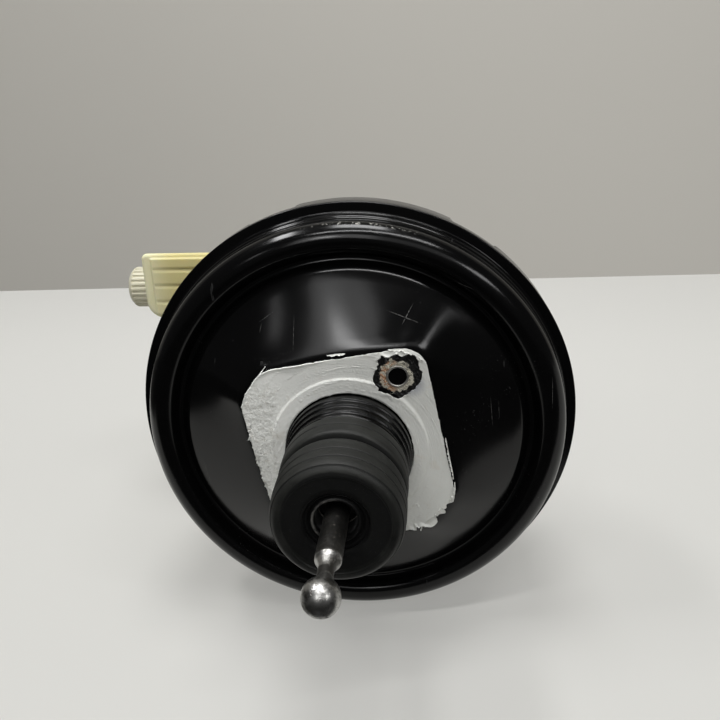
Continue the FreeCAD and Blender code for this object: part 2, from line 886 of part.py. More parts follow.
def boot_wave(inset):
    """Radius and place of the boot's skin from its base to its end, moved in by inset."""
    radius = "boot_radius - (%s)" % inset
    points = [(radius, "boot_gap")]
    for fold in range(COLLAR_FOLDS):
        start = "boot_gap + %d * fold_pitch" % fold
        points.append((radius, start + " + fold_crest"))
        points.append((radius + " - fold_depth", start + " + (fold_crest + fold_pitch) / 2"))
        points.append((radius, start + " + fold_pitch"))
    bulge = "boot_gap + %d * fold_pitch + bulge_length" % COLLAR_FOLDS
    points.append((radius, bulge))
    points.append((radius + " - waist_depth", bulge + " + waist_length / 2"))
    points.append((radius, bulge + " + waist_length"))
    points.append((radius + " - drum_step", bulge + " + waist_length + fold_crest"))
    return [(x, "-(%s)" % y) for x, y in points]


def dust_boot():
    """Rubber bellows from the neck to the end of the power piston, with a flat end."""
    body = new_body("dust_boot")
    outer = boot_wave("0")
    outer.append(("boot_end_radius", "-(boot_length - boot_end_rounding)"))
    outer.append(("boot_face_radius", "-boot_length"))
    outer.append(("lip_radius", "-boot_length"))
    outer.append(("lip_radius", "-(boot_length - lip_sink)"))
    outer.append(("lip_bore", "-(boot_length - lip_sink)"))
    outer.append(("lip_bore", "-(boot_length - lip_sink - boot_wall)"))
    inside = "-(boot_length - boot_wall - lip_sink)"
    outer.append(("tube_radius + free_gap", inside))
    outer.append(("tube_radius + free_gap", "-(boot_length - skirt_length)"))
    outer.append(("tube_radius + free_gap + skirt_wall", "-(boot_length - skirt_length)"))
    outer.append(("tube_radius + free_gap + skirt_wall", "-(boot_length - boot_end_rounding)"))
    outer.append(("boot_end_radius - boot_wall", "-(boot_length - boot_end_rounding)"))
    inner = boot_wave("boot_wall")[1:]
    inner.reverse()
    neck = "neck_radius + free_gap"
    inner.append((neck, "-(neck_reach + boot_wall)"))
    inner.append((neck, "-boot_gap"))
    inner = [pair for pair in inner if size(pair[1]) < -size("neck_reach + boot_wall") or pair[0] == neck]
    turned(body, outer + inner)


# Front shell

def front_shell():
    body = new_body("front_shell")
    back = "flange_plane + wall"
    web = back + " + collar_depth"
    outside = [
        ("flange_radius", back),
        ("flange_radius", web),
        ("front_drum_radius", web),
        ("front_drum_radius", "shell_length - front_drum_drop"),
        ("front_shoulder_radius", "shell_length - front_shoulder_drop"),
        ("front_cone_radius", "shell_length - front_cone_drop"),
        ("front_flat_radius", "shell_length"),
        ("spigot_radius + seat_gap", "shell_length"),
    ]
    inside = [
        ("spigot_radius + seat_gap", "shell_length - wall"),
        ("front_flat_radius - wall / 4", "shell_length - wall"),
        ("front_cone_radius - wall / 2", "shell_length - front_cone_drop - wall"),
        ("front_shoulder_radius - wall", "shell_length - front_shoulder_drop - wall / 2"),
        ("front_drum_radius - wall", "shell_length - front_drum_drop - wall / 4"),
        ("front_drum_radius - wall", web + " - wall"),
        ("flange_radius - collar_wall", web + " - wall"),
        ("flange_radius - collar_wall", back),
    ]
    turned(body, outside + inside)
    round_edges(body, "front_rounding", hoop(outside[3:7] + inside[1:5]))
    for angle in LOBE_GAPS:
        gap = cross_sketch(body, back + " + lobe_gap_start", str(angle))
        floor = "flange_radius - lobe_gap_depth"
        rectangle(gap, floor, "flange_radius * 1.1", "-lobe_gap_width / 2", "lobe_gap_width / 2")
        pocket(body, gap, "collar_depth", reverse=False)
    holes = cross_sketch(body, "shell_length - wall * 2")
    for sign in ("", "-"):
        circle(holes, "sleeve_radius + seat_gap", *sleeve_place(sign))
        circle(holes, "stud_radius + seat_gap", "0", sign + "stud_offset")
    circle(holes, "check_hole_radius", "check_x", "-check_z")
    pocket(body, holes, "wall * 4")


# Power piston and membrane

def valve_body():
    """Power piston: the tube that slides in the neck, the hub and the front boss."""
    body = new_body("valve_body")
    hub_face = "hub_plane + hub_thickness"
    step = hub_face + " + membrane + plate_wall"
    turned(body, [
        ("tube_bore", "-tube_reach"),
        ("tube_radius", "-tube_reach"),
        ("tube_radius", "hub_plane"),
        ("hub_radius", "hub_plane"),
        ("hub_radius", hub_face),
        ("hub_neck_radius", hub_face),
        ("hub_neck_radius", step),
        ("hub_boss_radius", step),
        ("hub_boss_radius", "hub_length"),
        ("disc_radius", "hub_length"),
        ("disc_radius", "disc_back"),
        ("plunger_nose_radius + running_gap", "disc_back"),
        ("plunger_nose_radius + running_gap", "plunger_bore_depth + key_play"),
        ("plunger_radius + running_gap", "plunger_bore_depth + key_play"),
        ("plunger_radius + running_gap", "-valve_floor"),
        ("valve_seat_radius - valve_seat_wall", "-valve_floor"),
        ("valve_seat_radius - valve_seat_wall", "-valve_seat_reach"),
        ("valve_seat_radius", "-valve_seat_reach"),
        ("valve_seat_radius", "-valve_floor"),
        ("tube_bore", "-valve_floor"),
    ])
    slot = cross_sketch(body, "key_plane - seat_gap")
    half = "(key_width / 2 + seat_gap)"
    rectangle(slot, "-hub_neck_radius", "hub_neck_radius", "-" + half, half)
    pocket(body, slot, "key_thickness + 2 * seat_gap")
    passage = cross_sketch(body, "-valve_floor - wall")
    circle(passage, "passage_radius", "0", "passage_circle")
    pocket(body, passage, "hub_length * 2")


def stop_key():
    """Fork through the hub that limits the plunger's travel."""
    body = new_body("stop_key")
    sketch = cross_sketch(body, "key_plane")
    fork = "key_groove_radius + free_gap / 2"
    rectangle(sketch, "-key_length / 2", "key_length / 2", "-key_width / 2", "key_width / 2")
    padded(body, sketch, "key_thickness", reverse=True)
    round_end = cross_sketch(body, "key_plane")
    circle(round_end, fork)
    pocket(body, round_end, "key_thickness")
    mouth = cross_sketch(body, "key_plane")
    rectangle(mouth, "0", "key_length", "-(%s)" % fork, fork)
    pocket(body, mouth, "key_thickness")


def diaphragm_plate():
    """Pressed plate on the hub, dished to lie in the dome, with a rim that turns forward."""
    body = new_body("diaphragm_plate")
    flat = "hub_plane + hub_thickness + membrane"
    turned(body, [
        ("hub_neck_radius + seat_gap", flat),
        ("plate_flat_radius", flat),
        ("plate_cone_radius", "plate_deep"),
        ("plate_radius", "plate_deep"),
        ("plate_radius", "plate_deep + plate_rim"),
        ("plate_radius - plate_wall", "plate_deep + plate_rim"),
        ("plate_radius - plate_wall", "plate_deep + plate_wall"),
        ("plate_cone_radius - plate_wall / 2", "plate_deep + plate_wall"),
        ("plate_flat_radius - plate_wall / 2", flat + " + plate_wall"),
        ("hub_neck_radius + seat_gap", flat + " + plate_wall"),
    ])
    round_edges(body, "plate_wall * 2", hoop([("plate_radius", "plate_deep")]))
    holes = cross_sketch(body, flat + " - wall")
    circle(holes, "sleeve_radius + wall", *sleeve_place())
    circle(holes, "sleeve_radius + wall", *sleeve_place("-"))
    pocket(body, holes, "wall * 4")


def diaphragm():
    """Rubber membrane behind the plate. Its fold runs over the rim to the bead in the collar."""
    body = new_body("diaphragm")
    skin = "hub_plane + hub_thickness"
    rim = "plate_deep + plate_rim"
    outer_face = "plate_radius + seat_gap + membrane"
    pocket_wall = "flange_radius - collar_wall - free_gap"
    shelf = "flange_plane + wall + seat_gap"
    turned(body, [
        ("hub_neck_radius + seat_gap", skin),
        ("plate_flat_radius + membrane / 2", skin),
        ("plate_cone_radius + membrane / 2", "plate_deep - membrane"),
        (outer_face, "plate_deep - membrane"),
        (outer_face, rim + " - membrane"),
        ("bead_radius - wall - free_gap", rim + " - membrane"),
        ("bead_inner_radius", shelf),
        (pocket_wall, shelf),
        (pocket_wall, shelf + " + bead_height"),
        ("bead_inner_radius", rim),
        ("plate_radius + seat_gap", rim),
        ("plate_radius + seat_gap", "plate_deep - seat_gap"),
        ("plate_cone_radius", "plate_deep - seat_gap"),
        ("plate_flat_radius", skin + " + membrane - seat_gap"),
        ("hub_neck_radius + seat_gap", skin + " + membrane - seat_gap"),
    ])
    holes = cross_sketch(body, skin + " - wall")
    circle(holes, "sleeve_radius + wall", *sleeve_place())
    circle(holes, "sleeve_radius + wall", *sleeve_place("-"))
    pocket(body, holes, "wall * 4")


def sleeve_seals():
    """Seals on the plate that slide along the bolt sleeves."""
    body = new_body("sleeve_seals")
    flat = "hub_plane + hub_thickness"
    plate_front = flat + " + membrane + plate_wall"
    stem = cross_sketch(body, flat)
    head = cross_sketch(body, plate_front)
    for sign in ("", "-"):
        circle(stem, "sleeve_radius + wall - seat_gap", *sleeve_place(sign))
        circle(stem, "sleeve_radius + running_gap", *sleeve_place(sign))
        circle(head, "seal_flange_radius", *sleeve_place(sign))
        circle(head, "sleeve_radius + running_gap", *sleeve_place(sign))
    padded(body, stem, "membrane + plate_wall + seal_flange_height", reverse=True)
    padded(body, head, "seal_flange_height", reverse=True)


def reaction_disc():
    body = new_body("reaction_disc")
    back = "disc_back"
    turned(body, [
        ("0", back),
        ("disc_radius - seat_gap", back),
        ("disc_radius - seat_gap", "hub_length - output_head"),
        ("0", "hub_length - output_head"),
    ])


def output_rod():
    """Push rod from the reaction disc to the pocket in the primary piston."""
    body = new_body("output_rod")
    tip = "shell_length - primary_back + primary_pocket_depth - free_gap"
    turned(body, [
        ("0", "hub_length - output_head"),
        ("disc_radius - seat_gap", "hub_length - output_head"),
        ("disc_radius - seat_gap", "hub_length"),
        ("output_rod_radius", "hub_length"),
        ("output_rod_radius", tip + " - output_rod_radius"),
        ("0", tip),
    ], {4: ("output_rod_radius", 1, False)})


def rod_retainer():
    """Pressed cup on the hub's boss: it keeps the output rod in and seats the return spring."""
    body = new_body("rod_retainer")
    inner = "hub_boss_radius + seat_gap"
    turned(body, [
        ("output_rod_radius + seat_gap", "hub_length"),
        (inner, "hub_length"),
        (inner, "hub_length - cup_length"),
        (inner + " + cup_wall", "hub_length - cup_length"),
        (inner + " + cup_wall", "hub_length"),
        ("cup_flange_radius", "hub_length"),
        ("cup_flange_radius", "hub_length + cup_wall"),
        ("output_rod_radius + seat_gap", "hub_length + cup_wall"),
    ])


def return_spring():
    start = "hub_length + cup_wall + free_gap"
    end = "shell_length - wall - seat_gap"
    coil("return_spring", "return_wire", start, end, "return_coil_radius", "return_coil_radius", RETURN_TURNS)


# Valve train in the power piston

def valve_plunger():
    body = new_body("valve_plunger")
    groove_back = "key_plane - key_play"
    groove_front = "key_plane + key_thickness + free_gap"
    mouth = "rod_neck_radius + free_gap * 3"
    turned(body, [
        ("0", "-(socket_centre - socket_radius)"),
        ("0", "plunger_length"),
        ("plunger_nose_radius", "plunger_length"),
        ("plunger_nose_radius", "plunger_shoulder"),
        ("plunger_radius", "plunger_shoulder"),
        ("plunger_radius", groove_front),
        ("key_groove_radius", groove_front),
        ("key_groove_radius", groove_back),
        ("plunger_radius", groove_back),
        ("plunger_radius", "-plunger_tail"),
        (mouth, "-plunger_tail"),
        (mouth, "-(socket_centre + sqrt(socket_radius^2 - (%s)^2))" % mouth),
    ], {11: ("socket_radius", 1, False)})


def input_rod():
    """Push rod with a small ball in the plunger and a large ball for the pedal's socket."""
    body = new_body("input_rod")
    neck_meets = "sqrt(joint_ball_radius^2 - rod_neck_radius^2)"
    end_meets = "sqrt(ball_radius^2 - rod_end_neck_radius^2)"
    turned(body, [
        ("0", "-(socket_centre - joint_ball_radius)"),
        ("0", "-(ball_centre + ball_radius)"),
        ("rod_end_neck_radius", "-(ball_centre - %s)" % end_meets),
        ("rod_end_neck_radius", "-(rod_shoulder + rod_shoulder_cone)"),
        ("rod_radius", "-rod_shoulder"),
        ("rod_radius", "-rod_step"),
        ("rod_neck_radius", "-rod_step"),
        ("rod_neck_radius", "-(socket_centre + %s)" % neck_meets),
    ], {1: ("ball_radius", 1, False), 7: ("joint_ball_radius", 1, False)})


def spring_seat():
    body = new_body("spring_seat")
    turned(body, [
        ("rod_neck_radius + seat_gap", "-rod_step"),
        ("spring_seat_radius", "-rod_step"),
        ("spring_seat_radius", "-(rod_step - spring_seat_thickness)"),
        ("rod_neck_radius + seat_gap", "-(rod_step - spring_seat_thickness)"),
    ])


def poppet_valve():
    """Rubber valve that closes on the plunger or on the seat in the power piston."""
    body = new_body("poppet_valve")
    back = "poppet_face + poppet_length"
    tube = "poppet_tube_radius"
    turned(body, [
        ("poppet_bore", "-poppet_face"),
        ("poppet_radius", "-poppet_face"),
        ("poppet_radius", "-(poppet_face + poppet_thickness)"),
        (tube, "-(poppet_face + poppet_thickness)"),
        (tube, "-(%s - poppet_bead)" % back),
        ("tube_bore - seat_gap", "-(%s - poppet_bead)" % back),
        ("tube_bore - seat_gap", "-(%s)" % back),
        (tube + " - boot_wall", "-(%s)" % back),
        (tube + " - boot_wall", "-(poppet_face + poppet_thickness)"),
        ("poppet_bore", "-(poppet_face + poppet_thickness)"),
    ])


def poppet_retainer():
    body = new_body("poppet_retainer")
    front = "poppet_face + poppet_length"
    turned(body, [
        ("poppet_retainer_bore", "-(%s)" % front),
        ("tube_bore - seat_gap", "-(%s)" % front),
        ("tube_bore - seat_gap", "-(%s + poppet_retainer_length)" % front),
        ("poppet_retainer_bore", "-(%s + poppet_retainer_length)" % front),
    ])


def valve_springs():
    retainer_back = "-(poppet_face + poppet_length + poppet_retainer_length + seat_gap)"
    seat_front = "-(rod_step - spring_seat_thickness - free_gap)"
    coil("valve_spring", "valve_wire", seat_front, retainer_back,
         "valve_coil_end_radius", "valve_coil_radius", VALVE_TURNS)
    coil("poppet_spring", "poppet_wire", "-(poppet_face + poppet_length - free_gap)",
         "-(poppet_face + poppet_thickness + seat_gap)", "poppet_coil_radius", "poppet_coil_radius", PISTON_TURNS)


def filter_rings():
    """Foam air filter in the tube's mouth, with a felt silencer in front of it."""
    for label, back, length in (
        ("air_filter", "tube_reach", "filter_length"),
        ("silencer", "tube_reach - filter_length - seat_gap", "silencer_length"),
    ):
        body = new_body(label)
        turned(body, [
            ("filter_bore", "-(%s)" % back),
            ("tube_bore - seat_gap", "-(%s)" % back),
            ("tube_bore - seat_gap", "-(%s - %s)" % (back, length)),
            ("filter_bore", "-(%s - %s)" % (back, length)),
        ])


# Master cylinder: its bodies stand on the front plate, so their Y is measured from there

def cylinder_body(label):
    return new_body(label, y="shell_length")


def master_cylinder_body():
    body = cylinder_body("master_cylinder_body")
    turned(body, [
        ("0", "-spigot_length"),
        ("spigot_radius", "-spigot_length"),
        ("spigot_radius", "0"),
        ("flange_half_width", "0"),
        ("flange_half_width", "flange_thickness"),
        ("barrel_radius", "flange_thickness"),
        ("barrel_radius", "barrel_end"),
        ("0", "barrel_end"),
    ])
    round_edges(body, "barrel_rounding", hoop([("barrel_radius", "barrel_end")]))
    ears = cross_sketch(body, "0")
    reach = "stud_offset + flange_ear"
    outline(ears, [
        ("-flange_ear", "-(%s)" % reach),
        ("-flange_half_width", "-flange_ear"),
        ("-flange_half_width", "flange_ear"),
        ("-flange_ear", reach),
        ("flange_ear", reach),
        ("flange_half_width", "flange_ear"),
        ("flange_half_width", "-flange_ear"),
        ("flange_ear", "-(%s)" % reach),
    ])
    padded(body, ears, "flange_thickness", reverse=True)
    round_edges(body, "flange_ear * 0.6", along_ears)
    for place in ("first_port", "second_port"):
        boss = new_sketch(body, "YZ_Plane")
        circle(boss, "port_boss_radius", place, "0")
        padded(body, boss, "port_boss_reach", reverse=True)
    for place in ("first_outlet", "second_outlet"):
        boss = new_sketch(body, "XY_Plane")
        circle(boss, "outlet_boss_radius", "0", place)
        padded(body, boss, "outlet_reach", reverse=True)
    lug = new_sketch(body, "YZ_Plane")
    rectangle(lug, "lug_place - lug_thickness / 2", "lug_place + lug_thickness / 2",
              "-lug_half_width", "lug_half_width")
    padded(body, lug, "lug_reach", reverse=True)
    turned_cut(body, [
        ("0", "-spigot_length"),
        ("spigot_bore", "-spigot_length"),
        ("spigot_bore", "-spigot_bore_floor"),
        ("bore_radius", "-spigot_bore_floor"),
        ("bore_radius", "bore_end"),
        ("0", "bore_end"),
    ])
    middle = "-(wall + spigot_groove) / 2"
    turned_cut(body, [
        ("spigot_radius - spigot_groove", middle + " - spigot_groove"),
        ("spigot_radius + wall", middle + " - spigot_groove"),
        ("spigot_radius + wall", middle + " + spigot_groove"),
        ("spigot_radius - spigot_groove", middle + " + spigot_groove"),
    ])
    for place in ("first_port", "second_port"):
        cup = new_sketch(body, "YZ_Plane", "-port_boss_reach")
        circle(cup, "grommet_radius", place, "0")
        pocket(body, cup, "grommet_depth", reverse=True)
        drilling = new_sketch(body, "YZ_Plane", "-port_boss_reach")
        circle(drilling, "drilling_radius", place, "0")
        pocket(body, drilling, "port_boss_reach", reverse=True)
    for place in ("first_outlet", "second_outlet"):
        thread = new_sketch(body, "XY_Plane", "-outlet_reach")
        circle(thread, "outlet_radius", "0", place)
        pocket(body, thread, "outlet_depth", reverse=True)
        drilling = new_sketch(body, "XY_Plane", "-outlet_reach")
        circle(drilling, "drilling_radius", "0", place)
        pocket(body, drilling, "outlet_reach", reverse=True)
    studs = cross_sketch(body, "0")
    for sign in ("", "-"):
        circle(studs, "stud_radius + seat_gap", "0", sign + "stud_offset")
    pocket(body, studs, "flange_thickness")
    pin_hole = cross_sketch(body, "lug_place - lug_thickness")
    circle(pin_hole, "pin_radius + seat_gap", "-pin_offset", "0")
    pocket(body, pin_hole, "lug_thickness * 2")
    stop = new_sketch(body, "XY_Plane", "barrel_radius * 2")
    circle(stop, "stop_pin_radius + seat_gap", "0", "stop_pin_place")
    pocket(body, stop, "barrel_radius * 2")


def along_ears(edge):
    """The four outer corners of the flange's ears."""
    if not along(Vector(0, 1, 0))(edge):
        return False
    return abs(edge.CenterOfMass.z) > size("stud_offset")


def mc_seal():
    """Ring that seals the cylinder's spigot in the front plate."""
    body = cylinder_body("mc_seal")
    inner = "spigot_radius - spigot_groove + seat_gap"
    middle = "-(wall + spigot_groove) / 2"
    turned(body, [
        (inner, middle + " - spigot_groove + seat_gap"),
        ("spigot_radius", middle + " - spigot_groove + seat_gap"),
        ("spigot_radius", middle + " + spigot_groove - seat_gap"),
        (inner, middle + " + spigot_groove - seat_gap"),
    ])


def mc_guide_ring():
    body = cylinder_body("mc_guide_ring")
    back = "-(spigot_length - circlip_thickness)"
    turned(body, [
        ("bore_radius", back),
        ("spigot_bore - seat_gap", back),
        ("spigot_bore - seat_gap", "-spigot_bore_floor"),
        ("bore_radius", "-spigot_bore_floor"),
    ])


def mc_circlip():
    body = cylinder_body("mc_circlip")
    sketch = cross_sketch(body, "-spigot_length")
    circle(sketch, "spigot_bore - seat_gap")
    circle(sketch, "bore_radius + free_gap")
    padded(body, sketch, "circlip_thickness", reverse=True)
    gap = cross_sketch(body, "-spigot_length")
    rectangle(gap, "0", "spigot_bore * 1.2", "-stop_pin_radius", "stop_pin_radius")
    pocket(body, gap, "circlip_thickness")


def mc_studs():
    """Two studs, pressed into the front plate from inside."""
    body = cylinder_body("mc_studs")
    heads = cross_sketch(body, "-wall")
    shanks = cross_sketch(body, "-wall")
    for sign in ("", "-"):
        circle(heads, "stud_head_radius", "0", sign + "stud_offset")
        circle(shanks, "stud_radius", "0", sign + "stud_offset")
    padded(body, heads, "stud_head_thickness")
    padded(body, shanks, "stud_length + wall", reverse=True)


def mc_nuts():
    body = cylinder_body("mc_nuts")
    sketch = cross_sketch(body, "flange_thickness")
    for sign in (1, -1):
        corners = []
        for side in range(6):
            reach = "nut_across_flats / sqrt(3)"
            turn = 60 * side
            across = "%s * cos(%d)" % (reach, turn)
            up = "%d * stud_offset + %s * sin(%d)" % (sign, reach, turn)
            corners.append((across, up))
        outline(sketch, corners)
        circle(sketch, "stud_radius + seat_gap", "0", "%d * stud_offset" % sign)
    padded(body, sketch, "nut_thickness", reverse=True)


def piston_cups(label, places):
    body = cylinder_body(label)
    for place in places:
        turned(body, [
            ("bore_radius - cup_depth", place),
            ("bore_radius - running_gap", place),
            ("bore_radius - running_gap", place + " + cup_height"),
            ("bore_radius - cup_depth", place + " + cup_height"),
        ])


def cup_places():
    """Where the rubber cups sit on the primary and on the secondary piston."""
    primary = "primary_front - cup_setback - cup_height"
    secondary = "secondary_front - cup_setback / 2 - cup_height"
    return primary, secondary


def cup_groove(body, place):
    turned_cut(body, [
        ("bore_radius - cup_depth", place),
        ("bore_radius + wall", place),
        ("bore_radius + wall", place + " + cup_height"),
        ("bore_radius - cup_depth", place + " + cup_height"),
    ])


def primary_piston():
    body = cylinder_body("primary_piston")
    turned(body, [
        ("0", "-primary_back + primary_pocket_depth"),
        ("primary_pocket_radius", "-primary_back + primary_pocket_depth"),
        ("primary_pocket_radius", "-primary_back"),
        ("bore_radius - running_gap", "-primary_back"),
        ("bore_radius - running_gap", "primary_front"),
        ("0", "primary_front"),
    ])
    cup_groove(body, cup_places()[0])


def secondary_piston():
    """Floating piston with a slot for the stop pin."""
    body = cylinder_body("secondary_piston")
    turned(body, [
        ("0", "secondary_back"),
        ("bore_radius - running_gap", "secondary_back"),
        ("bore_radius - running_gap", "secondary_front"),
        ("0", "secondary_front"),
    ])
    cup_groove(body, cup_places()[1])
    slot = new_sketch(body, "XY_Plane", "bore_radius * 2")
    half = "(stop_pin_radius + free_gap)"
    back = "stop_pin_place - stroke_of_secondary - stop_pin_radius - free_gap"
    rectangle(slot, "-" + half, half, back, "stop_pin_place + stop_pin_radius + free_gap")
    pocket(body, slot, "bore_radius + stop_pin_depth + free_gap")


def stop_pin():
    """Screw through the barrel that stops the secondary piston."""
    body = new_body("stop_pin", y="shell_length + stop_pin_place", z="barrel_radius")
    turned(body, [
        ("0", "-(barrel_radius - bore_radius + stop_pin_depth)"),
        ("stop_pin_radius", "-(barrel_radius - bore_radius + stop_pin_depth)"),
        ("stop_pin_radius", "seat_gap"),
        ("stop_head_radius", "seat_gap"),
        ("stop_head_radius", "cup_height"),
        ("0", "cup_height"),
    ], role="XZ_Plane")


def piston_springs():
    place = [("y", "shell_length")]
    coil("primary_spring", "piston_wire", "primary_front + free_gap", "secondary_back - seat_gap",
         "piston_coil_radius", "piston_coil_radius", PISTON_TURNS, place)
    coil("secondary_spring", "piston_wire", "secondary_front + free_gap", "bore_end - seat_gap",
         "piston_coil_radius", "piston_coil_radius", PISTON_TURNS, place)


# Reservoir

def tank_outline(sketch, inset, fall):
    """Side of the tank, across and up: a low foot on the cylinder and a high tank beyond the shells."""
    low = "tank_low + (%s)" % inset
    high = "tank_high - (%s) - (%s)" % (fall, inset)
    end = "tank_end - (%s)" % inset
    foot = "tank_foot + (%s)" % inset
    foot_low = "foot_low - (%s)" % inset
    foot_high = "foot_high - (%s)" % inset
    corner = "(tank_rounding - (%s))" % inset
    outline(sketch, [
        ("-(%s)" % foot, "-(%s)" % foot_low),
        ("-(%s)" % foot, foot_high),
        ("-tank_knee", foot_high),
        ("-tank_start", high),
        ("-(%s)" % end, high),
        ("-(%s)" % end, "%s + %s" % (low, corner)),
        ("-(%s - %s)" % (end, corner), low),
        ("-tank_start", low),
        ("-tank_knee", "-(%s)" % foot_low),
    ], {5: (corner, 1, False)})


def reservoir():
    body = cylinder_body("reservoir")
    side = cross_sketch(body, "tank_near")
    tank_outline(side, "0", "0")
    padded(body, side, "tank_far - tank_near", reverse=True)
    fall = new_sketch(body, "YZ_Plane")
    outline(fall, [("tank_near", "tank_high"), ("tank_far", "tank_high - tank_fall"), ("tank_far", "tank_high")])
    pocket(body, fall, "tank_end")
    round_edges(body, "tank_edge", tank_rim)
    panel = cross_sketch(body, "tank_near")
    left, right = "-(tank_end - panel_inset)", "-(tank_start + panel_inset)"
    rectangle(panel, left, right, "tank_low + tank_edge", "tank_high - tank_edge")
    padded(body, panel, "panel_height")
    for number in range(TANK_FURROWS):
        furrow = cross_sketch(body, "tank_near - panel_height")
        middle = "tank_high - furrow_drop - %d * furrow_pitch" % number
        low, high = middle + " - furrow_width / 2", middle + " + furrow_width / 2"
        rectangle(furrow, left, right, low, high)
        pocket(body, furrow, "panel_height")
    for place in ("first_port", "second_port"):
        pipe = new_sketch(body, "YZ_Plane", "-foot_pipe_reach")
        circle(pipe, "foot_pipe_radius", place, "0")
        padded(body, pipe, "tank_foot - foot_pipe_reach", reverse=True)
    filler = new_sketch(body, "YZ_Plane", "-tank_end")
    circle(filler, "filler_radius", "filler_place", "filler_height")
    padded(body, filler, "filler_reach", reverse=True)
    for sign in (-1, 1):
        tab = new_sketch(body, "YZ_Plane", "-(pin_offset - pin_radius * 2)")
        near = "lug_place + %d * (lug_thickness / 2 + free_gap)" % sign
        far = "lug_place + %d * lug_thickness" % sign
        low, high = (far, near) if sign < 0 else (near, far)
        rectangle(tab, low, high, "-lug_half_width", "lug_half_width")
        padded(body, tab, "tank_foot - pin_offset + pin_radius * 2", reverse=True)
    before = solid_volume(body)
    near = cross_sketch(body, "tank_near + tank_wall")
    tank_outline(near, "tank_wall", "0")
    far = cross_sketch(body, "tank_far - tank_wall")
    tank_outline(far, "tank_wall", "tank_fall")
    inside = body.newObject("PartDesign::SubtractiveLoft", body.Label + "_inside")
    inside.Profile = near
    inside.Sections = [far]
    inside.Ruled = True
    check_cut(body, before)
    mouth = new_sketch(body, "YZ_Plane", "-(tank_end + filler_reach)")
    circle(mouth, "filler_bore", "filler_place", "filler_height")
    pocket(body, mouth, "filler_reach + tank_wall", reverse=True)
    for place in ("first_port", "second_port"):
        bore = new_sketch(body, "YZ_Plane", "-foot_pipe_reach")
        circle(bore, "foot_pipe_bore", place, "0")
        pocket(body, bore, "tank_foot - foot_pipe_reach + tank_wall")
    hole = cross_sketch(body, "lug_place - lug_thickness * 1.5")
    circle(hole, "pin_radius + seat_gap", "-pin_offset", "0")
    pocket(body, hole, "lug_thickness * 3")
    post = new_sketch(body, "YZ_Plane", "-(tank_end - tank_wall)")
    circle(post, "post_radius", "post_place", "post_height")
    padded(body, post, "post_length")
    stop = new_sketch(body, "YZ_Plane", "-(tank_end - tank_wall - post_length)")
    circle(stop, "post_stop_radius", "post_place", "post_height")
    padded(body, stop, "post_stop_length")


def tank_rim(edge):
    """Edges of the tank's two side faces beyond the shells."""
    middle = edge.CenterOfMass
    near = abs(middle.y - size("tank_near")) < 0.01
    far = abs(middle.y - size("tank_far")) < 0.01
    return (near or far) and middle.x < -size("tank_knee")


def reservoir_grommets():
    """Rubber seals between the cylinder's bosses and the reservoir's pipes."""
    body = cylinder_body("reservoir_grommets")
    inside = "port_boss_reach - grommet_depth + seat_gap"
    for place in ("first_port", "second_port"):
        sleeve = new_sketch(body, "YZ_Plane", "-(%s)" % inside)
        circle(sleeve, "grommet_radius - seat_gap", place, "0")
        circle(sleeve, "foot_pipe_radius + seat_gap", place, "0")
        padded(body, sleeve, "grommet_depth", reverse=True)
        flange = new_sketch(body, "YZ_Plane", "-(port_boss_reach + seat_gap)")
        circle(flange, "port_boss_radius", place, "0")
        circle(flange, "foot_pipe_radius + seat_gap", place, "0")
        padded(body, flange, "grommet_flange", reverse=True)


def reservoir_pin():
    body = new_body("reservoir_pin", x="-pin_offset", y="shell_length + lug_place")
    sketch = cross_sketch(body, "-lug_thickness * 1.2")
    circle(sketch, "pin_radius")
    padded(body, sketch, "lug_thickness * 2.4", reverse=True)


# Cap and level parts: the cap's bodies stand on the end of the filler neck, X outwards is -X

def filler_body(label):
    place = {"x": "-(tank_end + filler_reach)", "y": "shell_length + filler_place", "z": "filler_height"}
    return new_body(label, **place)


def reservoir_cap():
    """Fluted cap over the filler neck."""
    body = filler_body("reservoir_cap")
    inner = "filler_radius + free_gap"
    top = "cap_seal_thickness + free_gap * 2"
    turned(body, [
        ("-(%s)" % top, "0"),
        ("-(%s + cap_wall)" % top, "0"),
        ("-(%s + cap_wall)" % top, "cap_radius - cap_wall"),
        ("-(%s)" % top, "cap_radius"),
        ("cap_skirt - free_gap", "cap_radius"),
        ("cap_skirt - free_gap", inner),
        ("-(%s)" % top, inner),
    ], axis="H_Axis")
    flute = new_sketch(body, "YZ_Plane", "-(%s + cap_wall * 2)" % top)
    circle(flute, "cap_flute", "0", "cap_radius")
    cut = pocket(body, flute, "cap_skirt + cap_wall * 4", reverse=True)
    pattern(body, cut, CAP_FLUTES, "X_Axis")


def cap_seal():
    body = filler_body("cap_seal")
    turned(body, [
        ("-free_gap", "0"),
        ("-free_gap", "filler_radius"),
        ("-(free_gap + cap_seal_thickness)", "filler_radius"),
        ("-(free_gap + cap_seal_thickness)", "0"),
    ], axis="H_Axis")


def level_float():
    """Float that rides on the post in the tank."""
    place = {"x": "-float_place", "y": "shell_length + post_place", "z": "post_height"}
    body = new_body("level_float", **place)
    turned(body, [
        ("0", "post_radius + free_gap"),
        ("0", "float_radius"),
        ("float_length", "float_radius"),
        ("float_length", "post_radius + free_gap"),
    ], axis="H_Axis")


